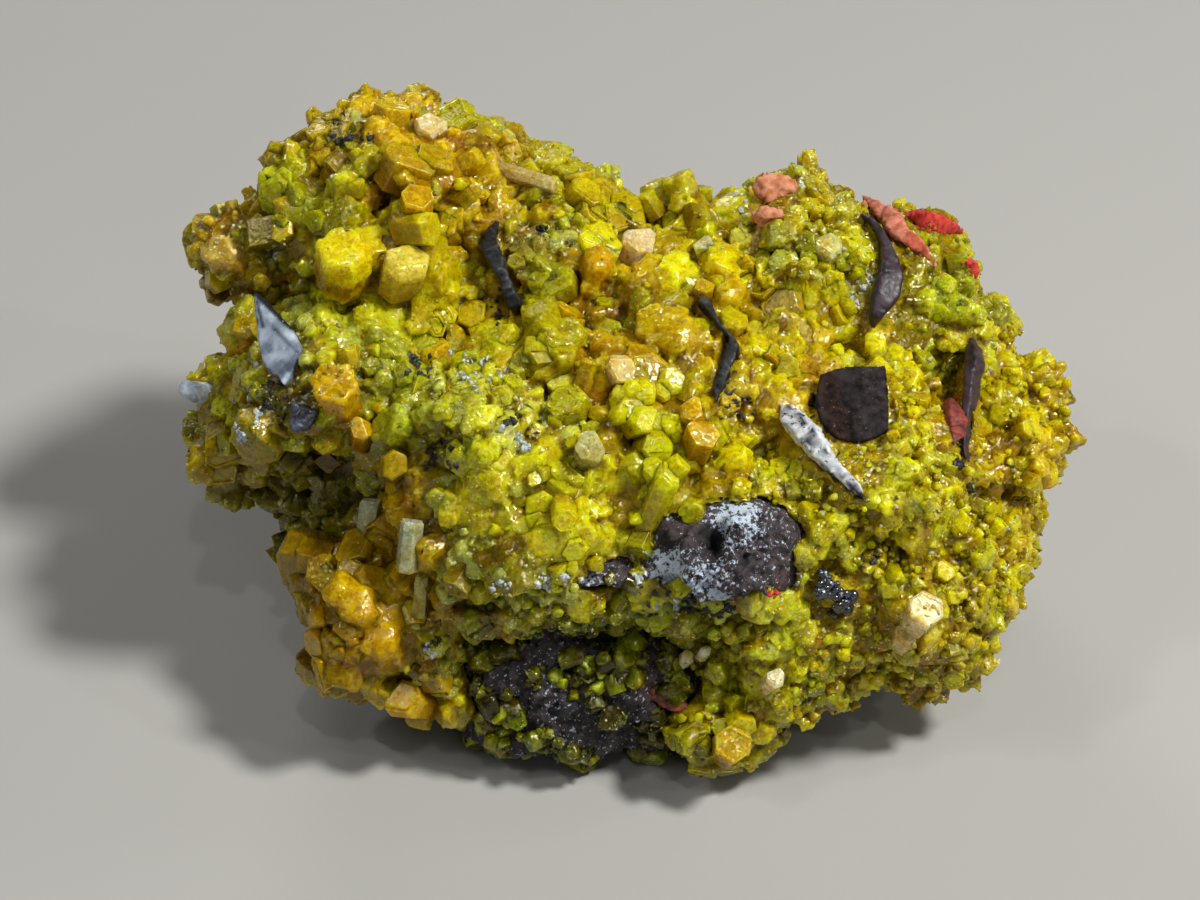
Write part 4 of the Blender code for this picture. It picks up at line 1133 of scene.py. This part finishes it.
# limonite and manganese oxide rock, broken: dull dark brown, with a pale blue-white bloom in places
rock = {
    "voxel": 0.8,              # mm
    "relief": (1.5, 3.4),      # depth and size, mm
    "bulge": (717, 560, 5.6, 1.7),  # the window's knob: pixel, reach and height in mm
    "bloom": [(676, 566, 2.0), (694, 576, 2.2), (662, 556, 1.5), (682, 549, 1.1), (710, 566, 2.1), (724, 544, 1.5),
              (735, 524, 2.2), (747, 516, 1.4), (714, 590, 1.5), (660, 582, 1.6), (752, 558, 0.6), (765, 541, 0.5),
              (734, 563, 1.0), (588, 574, 1.5), (760, 578, 0.8)],
    "rust": [(772, 580, 1.8), (757, 592, 1.4), (735, 578, 1.0), (655, 690, 2.2)],
    "holes": [(713, 538, 1.1, 3.0), (714, 550, 1.05, 3.0), (700, 606, 0.8, 1.0), (668, 540, 0.9, 1.0), (742, 560, 0.5, 0.6)],
    "look": {"dark": "#0F0C10", "light": "#4E4044", "patch": 0.8, "spot": "#C9D8EA", "spotSize": 0.45, "spotsAbove": 0.59,
             "roughness": (0.6, 0.95), "grit": 0.35, "gritDepth": 0.22, "ior": 1.6},
}
rockPoints, rockFaces, rockNormals = fineCopy("oxide_rock", rock["voxel"], 1)
pocketGap, _ = nearest(rockPoints, crustTree, 0.004)
bare = pocketGap > 0.75 * mm
bm = bmesh.new()
for point in rockPoints:
    bm.verts.new(point)
bm.verts.ensure_lookup_table()
for face in rockFaces:
    bm.faces.new([bm.verts[i] for i in face])
bm.verts.index_update()
bareEdges = [edge for edge in bm.edges if all(bare[v.index] for v in edge.verts)
             and max(v.co.z for v in edge.verts) > 0.3 * mm]
bmesh.ops.subdivide_edges(bm, edges=bareEdges, cuts=1)
bmesh.ops.triangulate(bm, faces=bm.faces[:])
window = Vector(pixelPoint(*rock["bulge"][:2], rockTree)[0])
nearEdges = [edge for edge in bm.edges if all((v.co - window).length < 7.5 * mm for v in edge.verts)]
bmesh.ops.subdivide_edges(bm, edges=nearEdges, cuts=1)
bmesh.ops.triangulate(bm, faces=bm.faces[:])
bm.normal_update()
rockPoints = np.array([vert.co[:] for vert in bm.verts])
rockNormals = np.array([vert.normal[:] for vert in bm.verts])
bm.verts.index_update()
rockFaces = np.array([[vert.index for vert in face.verts] for face in bm.faces])
bm.free()
pocketGap, _ = nearest(rockPoints, crustTree, 0.004)
free = np.clip((pocketGap - 0.2 * mm) / (0.7 * mm), 0, 1) * np.clip((rockPoints[:, 2] - 0.4 * mm) / (2 * mm), 0, 1)
roughPoints = roughen(rockPoints, rockNormals, *rock["relief"], 21)
holeShade = np.zeros(len(rockPoints))
for x, y, reach, depth in rock["holes"]:
    spot, _ = pixelPoint(x, y, rockTree)
    if spot is not None:
        near = np.exp(-(np.linalg.norm(rockPoints - spot, axis=1) / (reach * mm)) ** 2)
        roughPoints -= rockNormals * (near * depth * mm)[:, None]
        holeShade = np.maximum(holeShade, near)
x, y, reach, height = rock["bulge"]
bulge = np.exp(-(np.linalg.norm(rockPoints - pixelPoint(x, y, rockTree)[0], axis=1) / (reach * mm)) ** 2)
roughPoints += rockNormals * (bulge * height * mm)[:, None]
roughPoints = roughen(roughPoints, rockNormals, 0.45, 1.1, 27)
roughPoints += rockNormals * (0.35 + 0.40 * facetField(rockPoints, 2.3, 28) + 0.26 * facetField(rockPoints, 0.9, 29)
                              )[:, None] * mm
rockPoints = rockPoints + (roughPoints - rockPoints) * free[:, None]
rockPoints[:, 2] = np.maximum(rockPoints[:, 2], 0)
rust = nearPixels(rockPoints, rock["rust"])[:, None]
rockTint = 1 + rust * (np.array([1.45, 1.0, 0.9]) - 1)
rockTint *= 1 - 0.97 * np.clip(1.4 * holeShade, 0, 1)[:, None]
rockTint *= np.interp(rockPoints[:, 2], (9 * mm, 19 * mm), (0.55, 1))[:, None]  # painted shade: darker towards the bottom
rockMaterial = mineralMaterial("limoniteRockBroken", rock["look"])
bloom = np.minimum(1.3 * nearPixels(rockPoints, rock["bloom"]), 0.85) - 1.5 * holeShade
addPiece("oxideRock", meshFromArrays("oxideRock", rockPoints, rockFaces, rockTint, bloom, False), rockMaterial,
         "oxide_rock", "oxide_rock")
print("rock:", len(rockFaces), "triangles")

# the flat and lumpy chips of other minerals: voxel in mm, relief depth and size in mm, look
chips = {
    "grey_plate": {"piece": "greyPlate", "slot": "grey_plate", "voxel": 0.2, "relief": (0.12, 1.6), "seed": 31,
                   "outline": [(253, 292), (258, 293), (266, 300), (279, 314), (291, 328), (296, 337), (301, 347),
                               (300, 358), (294, 368), (290, 378), (284, 386), (278, 377), (270, 372), (262, 362),
                               (258, 345), (257, 330), (254, 310)], "depth": 1.6, "lift": 0,
                   "bands": [((1.7, 1.7, 1.6), (262, 309, 292, 337), 3.2), ((0.6, 0.62, 0.68), (280, 376, 298, 356), 4.5),
                             ((0.04, 0.04, 0.05), (254, 290, 291, 326), 4.2), ((0.35, 0.36, 0.4), (275, 330, 297, 352), 1.6),
                             ((0.05, 0.05, 0.08), (257, 302, 263, 327), 1.3), ((1.6, 1.6, 1.6), (283, 383, 288, 374), 2.4)],
                   "look": {"dark": "#66717F", "light": "#A9B6C6", "patch": 1.6, "spot": "#D5DEE8", "spotSize": 0.5,
                            "spotsAbove": 0.66, "roughness": (0.4, 0.7), "grit": 0.3, "gritDepth": 0.05, "ior": 1.45,
                            "shine": 0.15}},
    "black_blade_upper": {"piece": "blackBladeUpper", "slot": "black_oxide", "voxel": 0.2, "relief": (0.45, 1.3),
                          "seed": 32, "look": "black"},
    "black_blade_centre": {"piece": "blackBladeCentre", "slot": "black_oxide", "voxel": 0.2, "relief": (0.35, 1.3),
                           "seed": 33, "look": "black"},
    "blue_shard": {"piece": "blueShard", "slot": "black_oxide", "voxel": 0.2, "relief": (0.35, 1.0), "seed": 34,
                   "look": {"dark": "#0C1020", "light": "#3A4460", "patch": 0.8, "spot": "#9AA8C4", "spotSize": 0.5,
                            "spotsAbove": 0.66, "roughness": (0.2, 0.5), "grit": 0.3, "gritDepth": 0.08, "ior": 2.0}},
    "purple_blade": {"piece": "purpleBlade", "slot": "purple_oxide", "voxel": 0.22, "relief": (0.35, 1.5), "seed": 35,
                     "look": {"dark": "#120A14", "light": "#3C2236", "patch": 1.0, "spot": "#7E8090", "spotSize": 0.6,
                              "spotsAbove": 0.68, "roughness": (0.3, 0.6), "grit": 0.35, "gritDepth": 0.06,
                              "ior": 1.55}},
    "dark_block": {"piece": "darkBlock", "slot": "oxide_rock", "voxel": 0.22, "relief": (0.25, 3.0), "seed": 36,
                   "outline": [(820, 374), (845, 366), (886, 366), (889, 395), (889, 430), (874, 437), (858, 443),
                               (838, 438), (824, 426), (815, 402)], "depth": 3.0, "lift": 0.5,
                   "bands": [((1.3, 0.85, 0.62), (828, 385, 842, 430), 11.0), ((0.55, 0.42, 0.4), (850, 395, 852, 440), 1.5),
                             ((1.35, 1.4, 1.45), (874, 366, 876, 436), 12.0)],
                   "look": {"dark": "#120F10", "light": "#332C2D", "patch": 0.9, "spot": "#8A6A58", "spotSize": 0.35,
                            "spotsAbove": 0.63, "roughness": (0.6, 0.9), "grit": 0.3, "gritDepth": 0.08, "ior": 1.4,
                            "shine": 0.2}},
    "white_vein": {"piece": "whiteVein", "slot": "white_vein", "voxel": 0.2, "relief": (0.4, 1.1), "seed": 37,
                   "bands": [((0.04, 0.04, 0.06), place, width) for place, width in (
                       ((800, 414, 807, 428), 1.9), ((813, 430, 819, 443), 1.7), ((803, 438, 813, 446), 1.5),
                       ((825, 449, 830, 460), 1.5), ((836, 467, 843, 477), 2.0), ((847, 479, 853, 489), 2.2),
                       ((855, 487, 863, 498), 3.2), ((788, 406, 796, 415), 2.0))],
                   "look": {"dark": "#B9C0CC", "light": "#F1F2F2", "patch": 0.7, "spot": "#15161C", "spotSize": 0.8,
                            "spotsAbove": 0.57, "roughness": (0.7, 0.95), "grit": 0.25, "gritDepth": 0.1,
                            "ior": 1.4, "shine": 0.15}},
    "pale_knob": {"piece": "paleKnob", "slot": "white_vein", "voxel": 0.22, "relief": (0.4, 1.1), "seed": 38,
                  "look": {"dark": "#9FB4C8", "light": "#E8F0F4", "patch": 0.9, "spot": "#4A5A6A", "spotSize": 0.6,
                           "spotsAbove": 0.68, "roughness": (0.45, 0.8), "grit": 0.25, "gritDepth": 0.1, "ior": 1.6}},
    "brown_blade": {"piece": "brownBlade", "slot": "brown_oxide", "voxel": 0.22, "relief": (0.45, 1.2), "seed": 39,
                    "look": {"dark": "#120A10", "light": "#3E2430", "patch": 0.9, "spot": "#6A3A34", "spotSize": 0.5,
                             "spotsAbove": 0.66, "roughness": (0.35, 0.7), "grit": 0.3, "gritDepth": 0.08,
                             "ior": 1.6}},
    "red_slab": {"piece": "redSlab", "slot": "red_ochre", "voxel": 0.2, "relief": (0.3, 1.0), "seed": 40,
                 "look": {"dark": "#5A1A14", "light": "#9C3A2A", "patch": 0.8, "spot": "#2A1216", "spotSize": 0.6,
                          "spotsAbove": 0.64, "roughness": (0.5, 0.85), "grit": 0.25, "gritDepth": 0.08, "ior": 1.6}},
    "rust_chip": {"piece": "rustChip", "slot": "brown_oxide", "voxel": 0.2, "relief": (0.4, 1.0), "seed": 41,
                  "look": {"dark": "#4A1E12", "light": "#A04A2C", "patch": 0.8, "spot": "#241214", "spotSize": 0.6,
                           "spotsAbove": 0.60, "roughness": (0.4, 0.8), "grit": 0.25, "gritDepth": 0.1, "ior": 1.7}},
    "red_ochre": {"piece": "redOchre", "slot": "red_ochre", "voxel": 0.25, "relief": (0.6, 1.5), "seed": 42,
                  "look": "redEarth"},
    "red_ochre_speck": {"piece": "redOchreSpeck", "slot": "red_ochre", "voxel": 0.2, "relief": (0.4, 1.0), "seed": 43, "sunk": 0.4,
                        "look": "redEarth"},
    "pink_ochre": {"piece": "pinkOchre", "slot": "pink_ochre", "voxel": 0.25, "relief": (0.8, 1.8), "seed": 44, "sunk": 0.6,
                   "look": "salmonEarth"},
    "pink_ochre_chip": {"piece": "pinkOchreChip", "slot": "pink_ochre", "voxel": 0.2, "relief": (0.6, 1.3), "seed": 45, "sunk": 0.5,
                        "look": "salmonEarth"},
    "ochre_streak": {"piece": "ochreStreak", "slot": "pink_ochre", "voxel": 0.25, "relief": (0.6, 1.5), "seed": 46,
                     "bands": [((0.92, 0.74, 0.88), (860, 194, 903, 230), 14.0), ((0.98, 0.55, 0.55), (914, 242, 934, 262), 9.0)],
                     "look": "salmonEarth"},
}
sharedLooks = {
    "black": {"dark": "#060608", "light": "#1E1F27", "patch": 0.8, "spot": "#7A8494", "spotSize": 0.4,
              "spotsAbove": 0.68, "roughness": (0.25, 0.65), "grit": 0.3, "gritDepth": 0.1, "ior": 1.7, "shine": 0.3},
    "redEarth": {"dark": "#A82018", "light": "#E0483C", "patch": 0.8, "spot": "#E8A080", "spotSize": 0.5,
                 "spotsAbove": 0.66, "roughness": (0.65, 0.95), "grit": 0.2, "gritDepth": 0.1, "ior": 1.5},
    "salmonEarth": {"dark": "#B86A3C", "light": "#E6A07C", "patch": 0.8, "spot": "#E8C890", "spotSize": 0.5,
                    "spotsAbove": 0.64, "roughness": (0.65, 0.95), "grit": 0.2, "gritDepth": 0.1, "ior": 1.5},
}
chipMaterials = {
    "grey_plate": "hematitePlateCleaved", "blue_shard": "hematiteShardCleaved", "purple_blade": "hematiteBladeGrown",
    "dark_block": "ironstoneBlockBroken", "white_vein": "calciteVeinGranular", "pale_knob": "calciteKnobGranular",
    "brown_blade": "goethiteBladeGrown", "red_slab": "ironstoneSlabBroken", "rust_chip": "limoniteChipBroken",
    "black": "goethiteBladeBlackGrown", "redEarth": "redOchreEarthy", "salmonEarth": "salmonOchreEarthy",
}


def makeSlab(nodeName, outline, depth, voxel, lift):  # a flat chip from the outline it shows: points, triangles, normals
    hits = [pixelPoint(x, y, chipTrees[nodeName]) for x, y in outline]
    hits = [hit for hit in hits if hit[0] is not None]
    middle, facing = np.mean([hit[0] for hit in hits], 0), unit(np.median([hit[1] for hit in hits], 0))
    middle = middle + facing * lift * mm
    corners = []
    for x, y in outline:
        start, direction = pixelRay(x, y)
        corners.append(np.array(start + direction * ((middle - np.array(start)) @ facing / (np.array(direction) @ facing))))
    bm = bmesh.new()
    front = bm.faces.new([bm.verts.new(corner) for corner in corners])
    back = bmesh.ops.extrude_face_region(bm, geom=[front])["geom"]
    bmesh.ops.translate(bm, verts=[item for item in back if isinstance(item, bmesh.types.BMVert)],
                        vec=Vector(-facing * depth * mm))
    bmesh.ops.recalc_face_normals(bm, faces=bm.faces[:])
    mesh = bpy.data.meshes.new("slabWork")
    bm.to_mesh(mesh)
    bm.free()
    obj = bpy.data.objects.new("slabWork", mesh)
    bpy.context.scene.collection.objects.link(obj)
    remesh = obj.modifiers.new("remesh", "REMESH")
    remesh.mode = "VOXEL"
    remesh.voxel_size = voxel * mm
    arrays = meshArrays(obj)
    bpy.data.objects.remove(obj)
    return arrays


madeMaterials = {}
for nodeName, chip in chips.items():
    lookName = chip["look"] if isinstance(chip["look"], str) else nodeName
    look = sharedLooks[lookName] if lookName in sharedLooks else chip["look"]
    if lookName not in madeMaterials:
        madeMaterials[lookName] = mineralMaterial(chipMaterials[lookName], look)
    if nodeName in stripMeshes:
        points, faces, outward, _ = stripMeshes[nodeName]
        crumble = 0.6 * strips[nodeName][3]
        points = points + outward * (crumble * facetField(points, 0.9, chip["seed"]))[:, None] * mm
    elif "outline" in chip:
        points, faces, normals = makeSlab(nodeName, chip["outline"], chip["depth"], chip["voxel"], chip["lift"])
        points = roughen(points, normals, *chip["relief"], chip["seed"])
    else:
        points, faces, normals = fineCopy(nodeName, chip["voxel"], 1)
        points = roughen(points, normals, *chip["relief"], chip["seed"])
        outward = unit(points.mean(0) - np.array(crust["middle"]) * mm)
        points = points - outward * chip.get("sunk", 0) * mm
    paint = np.ones_like(points)
    for colour, (x0, y0, x1, y1), width in chip.get("bands", []):  # bands across a face: from, to and width in pixels
        place = pixelsOf(points)
        run = np.array([x1 - x0, y1 - y0], float)
        share = np.clip(((place - (x0, y0)) @ run) / (run @ run), 0, 1)
        apart = np.linalg.norm(place - (x0, y0) - share[:, None] * run, axis=1)
        cover = np.clip((width + 1.2 - apart) / 2.4, 0, 1)[:, None]
        paint = paint * (1 - cover) + np.array(colour) * cover
    addPiece(chip["piece"], meshFromArrays(chip["piece"], points, faces, paint, np.zeros(len(points)), False),
             madeMaterials[lookName], chip["slot"], nodeName)
print("chips made:", len(chips))

# psilomelane, grown in tiny grapes: black and shiny, with blue-white bloom in between
grapes = {"count": 72, "radius": (0.26, 0.55), "seed": 51,
          "bunches": [(824, 577, 3.5), (834, 588, 4.5), (843, 598, 4.5), (838, 608, 3.0), (822, 592, 2.5),
                      (849, 608, 2.5)],  # pixel and spread in pixels
          "look": {"dark": "#07080C", "light": "#262B38", "patch": 1.0, "spot": "#A9BBD0", "spotSize": 0.7,
                   "spotsAbove": 0.60, "roughness": (0.12, 0.4), "grit": 0.4, "gritDepth": 0.02, "ior": 2.0}}
grapeRng = np.random.default_rng(grapes["seed"])
spots, facing = [], []
for x, y, spread in grapes["bunches"]:
    for ball in range(grapes["count"] // len(grapes["bunches"])):
        spot, outward = pixelPoint(x + grapeRng.normal(0, spread), y + grapeRng.normal(0, spread), crustTree,
                                   chipTrees["black_botryoid"])
        spots.append(spot)
        facing.append(outward)
bm = bmesh.new()
bmesh.ops.create_icosphere(bm, subdivisions=2, radius=1)
ballPoints = np.array([vert.co[:] for vert in bm.verts])
bm.verts.index_update()
ballFaces = np.array([[vert.index for vert in face.verts] for face in bm.faces])
bm.free()
allPoints, allFaces, start = [], [], 0
low, high = grapes["radius"]
for spot, outward in zip(spots, facing):
    radius = grapeRng.uniform(low, high) * mm
    allPoints.append(spot + outward * radius * grapeRng.uniform(-0.2, 0.7) + ballPoints * radius)
    allFaces.append(ballFaces + start)
    start += len(ballPoints)
points, faces = np.concatenate(allPoints), np.concatenate(allFaces)
addPiece("blackBotryoid", meshFromArrays("blackBotryoid", points, faces, np.ones_like(points), np.zeros(len(points)),
                                         False),
         mineralMaterial("psilomelaneGrapelike", grapes["look"]), "black_oxide", "black_botryoid")

# loose grains on the crystals: dark oxide dust, and a pale coating
dust = {
    "radius": (0.14, 0.46),
    "clumping": 1.3,  # mm across the clumps that it gathers in
    "seed": 71,
    # pixel, spread in pixels across and up, tilt in degrees, how many
    "oxideDust": [(415, 366, 9, 6, 20, 70), (345, 132, 11, 8, 30, 60), (300, 418, 9, 5, -20, 45), (540, 232, 7, 5, 0, 30),
                  (740, 398, 5, 9, 0, 35), (266, 396, 8, 8, 0, 40), (964, 474, 3, 9, -25, 60), (600, 580, 12, 4, -10, 60),
                  (560, 640, 22, 7, -12, 60), (445, 455, 9, 7, 0, 45), (520, 425, 8, 4, 25, 30), (870, 560, 5, 5, 0, 20),
                  (430, 640, 9, 6, 0, 25), (712, 604, 13, 5, 0, 130), (748, 592, 8, 4, 0, 30), (500, 312, 4, 7, 0, 20), (652, 590, 8, 8, 0, 40)],
    "paleDust": [(512, 436, 12, 4, 25, 60), (867, 298, 6, 8, 0, 45), (240, 437, 7, 5, 20, 45), (250, 412, 8, 5, 30, 30),
                 (432, 650, 7, 5, 0, 25), (545, 583, 22, 4, -6, 80), (650, 570, 10, 7, 40, 60), (668, 605, 8, 5, 0, 35),
                 (300, 405, 7, 4, -20, 25), (790, 585, 6, 8, -30, 40), (476, 372, 14, 9, 0, 60), (268, 255, 4, 6, 40, 25),
                 (258, 366, 3, 4, 0, 14), (738, 205, 6, 8, 0, 25), (795, 182, 6, 5, 0, 20)],
    "salmonDust": [(772, 186, 8, 7, 0, 45), (768, 212, 7, 4, 0, 20), (890, 222, 20, 6, 42, 110), (925, 252, 8, 4, 45, 40)],
    "redDust": [(935, 224, 16, 4, 12, 60), (968, 265, 4, 5, 0, 20), (957, 415, 4, 9, 0, 25), (760, 590, 8, 3, 15, 12)],
    "dark": {"dark": "#08080A", "light": "#2C2A30", "patch": 0.6, "spot": "#4A4A58", "spotSize": 0.5, "spotsAbove": 0.66,
             "roughness": (0.35, 0.75), "grit": 0.3, "gritDepth": 0.02, "ior": 1.7},
    "pale": {"dark": "#93A6B4", "light": "#E6ECDC", "patch": 0.6, "spot": "#F4F4EE", "spotSize": 0.4, "spotsAbove": 0.60,
             "roughness": (0.3, 0.7), "grit": 0.3, "gritDepth": 0.02, "ior": 1.5},
}
dustRng = np.random.default_rng(dust["seed"])
for pieceName, slotName, materialName, lookName in (
        ("oxideDust", "black_oxide", "goethiteDustLoose", "dark"), ("paleDust", "white_vein", "calciteDustLoose", "pale"),
        ("salmonDust", "pink_ochre", "salmonOchreEarthy", "salmonEarth"), ("redDust", "red_ochre", "redOchreEarthy", "redEarth")):
    spots, facing = [], []
    for x, y, across, up, turn, count in dust[pieceName]:
        cos, sin = math.cos(math.radians(turn)), math.sin(math.radians(turn))
        hits = [pixelPoint(x + u * cos - v * sin, y + u * sin + v * cos, coverTree)
                for u, v in dustRng.normal(0, 1, (count * 4, 2)) * (across, up)]
        hits = [hit for hit in hits if hit[0] is not None]
        gathered = noiseField(np.array([hit[0] for hit in hits]), dust["clumping"], 15, 2)
        for i in np.argsort(-gathered)[:count]:
            spots.append(hits[i][0])
            facing.append(hits[i][1])
    spots, facing = np.array(spots), np.array(facing)
    low, high = dust["radius"]
    radii = (low + (high - low) * dustRng.random(len(spots)) ** 1.6) * mm
    columns = [spots, unit(facing + dustRng.normal(0, 0.6, facing.shape)), dustRng.uniform(0, math.pi, len(spots)),
               radii, radii * dustRng.uniform(0.3, 0.9, len(spots)), np.ones_like(spots), np.zeros(len(spots))]
    points, faces, _, frost = plantColumns("grain", columns, dustRng)
    material = madeMaterials[lookName] if lookName in madeMaterials else mineralMaterial(materialName, dust[lookName])
    addPiece(pieceName, meshFromArrays(pieceName, points, faces, np.ones_like(points), frost), material, slotName)
    print(pieceName, len(spots))

# small crystals scattered over the bare rock
scatter = {"count": 1000, "radius": (0.35, 1.35), "tints": "olive shade shade olive green", "clearWindow": (717, 556, 7.2)}
bareFaces = (pocketGap[rockFaces].min(1) > 0.6 * mm) * (rockPoints[rockFaces].mean(1)[:, 2] > 0.6 * mm)
spots, picked, facing = samplePoints(rockPoints, rockFaces, bareFaces.astype(float), scatter["count"] * 3, rng)
x, y, reach = scatter["clearWindow"]
window, _ = pixelPoint(x, y, rockTree)
keep = np.linalg.norm(spots - window, axis=1) > reach * mm
keep &= noiseField(spots, 5.0, 9, 2) > 0.09 * nearest(spots, crustTree, 0.006)[0] / mm - 0.40
spots, facing = spots[keep][:scatter["count"]], facing[keep][:scatter["count"]]
low, high = scatter["radius"]
radii = (low + (high - low) * rng.random(len(spots)) ** 1.8) * mm
families = scatter["tints"].split()
scatterTints = np.array([linear(tints[families[rng.integers(len(families))]][0]) for _ in spots])
# painted shade and random tone: each crystal on the bare rock is darkened by a random amount
scatterTints *= rng.uniform(0.35, 0.95, (len(spots), 1))
columns = [spots - facing * radii[:, None] * 0.1, unit(facing + rng.normal(0, 0.5, (len(spots), 3))),
           rng.uniform(0, math.pi, len(spots)), radii, radii * rng.uniform(0.6, 1.5, len(spots)), scatterTints,
           rng.uniform(0, 0.5, len(spots))]
addPiece("crystalsOnRock", meshFromArrays("crystalsOnRock", *plantColumns("plain", columns, rng)), crystalMaterial,
         "mimetite")
print("crystals on the rock:", len(spots))


# ---- floor and light ----

studio = {
    "floor": "#B4B3B0",
    "world": ("#ECECEC", 0.05),
    # softboxes: direction from the specimen, distance and size in m, power in W, warmth
    "lights": {
        "key": ((0.52, -0.20, 0.83), 0.75, 0.12, 5.15, "#FFFDF8"),
        "fill": ((-0.6, -0.35, 0.75), 0.9, 0.2, 0.55, "#FFFFFF"),
        "front": ((0.25, -0.90, 0.55), 1.1, 0.12, 0.3, "#FFFFFF"),
        "glintLeft": ((-0.55, -0.25, 0.8), 0.8, 0.03, 0.4, "#FFFFFF"),
        "glintFront": ((0.05, -0.50, 0.86), 0.8, 0.03, 0.4, "#FFFFFF"),
        "glintRight": ((0.75, -0.35, 0.6), 0.8, 0.03, 0.35, "#FFFFFF"),
        "back": ((-0.3, 0.85, 0.5), 0.9, 0.25, 1.6, "#FFFCF6"),
        "side": ((0.95, 0.1, 0.4), 0.9, 0.14, 0.7, "#FFFFFF"),
    },
}
world = bpy.data.worlds.new("studio")
bpy.context.scene.world = world
world.use_nodes = True
world.node_tree.nodes["Background"].inputs["Color"].default_value = linear(studio["world"][0]) + [1]
world.node_tree.nodes["Background"].inputs["Strength"].default_value = studio["world"][1]
for name, (direction, distance, size, power, warmth) in studio["lights"].items():
    lightData = bpy.data.lights.new(name, "AREA")
    lightData.shape = "DISK"
    lightData.size = size
    lightData.energy = power
    lightData.color = linear(warmth)
    light = bpy.data.objects.new(name, lightData)
    bpy.context.scene.collection.objects.link(light)
    aim = Vector((0, 0, 0.025))
    light.location = aim + Vector(direction).normalized() * distance
    light.rotation_euler = (aim - light.location).to_track_quat("-Z", "Y").to_euler()

bm = bmesh.new()
bmesh.ops.create_circle(bm, cap_ends=True, radius=4, segments=96)
floorMesh = bpy.data.meshes.new("floor")
bm.to_mesh(floorMesh)
bm.free()
floor = bpy.data.objects.new("floor", floorMesh)
bpy.context.scene.collection.objects.link(floor)
floorMaterial, tree = newMaterial("paperFloor")
fibre = addNode(tree, "ShaderNodeTexNoise", {"Scale": perMm(2.0), "Detail": 2.0})
dull = addNode(tree, "ShaderNodeMapRange", {"To Min": 0.75, "To Max": 0.9}, {"Value": fibre.outputs["Fac"]})
closeMaterial(tree, addNode(tree, "ShaderNodeBsdfPrincipled", {"Base Color": linear(studio["floor"]) + [1]},
                            {"Roughness": dull.outputs["Result"]}))
floorMesh.materials.append(floorMaterial)

bpy.context.scene.view_settings.view_transform = "Standard"
bpy.context.scene.view_settings.look = "None"

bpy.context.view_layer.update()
triangles = sum(len(obj.data.polygons) for obj in bpy.data.objects if obj.type == "MESH" and obj.name != "floor")
print("triangles in all, hidden nodes too:", triangles)
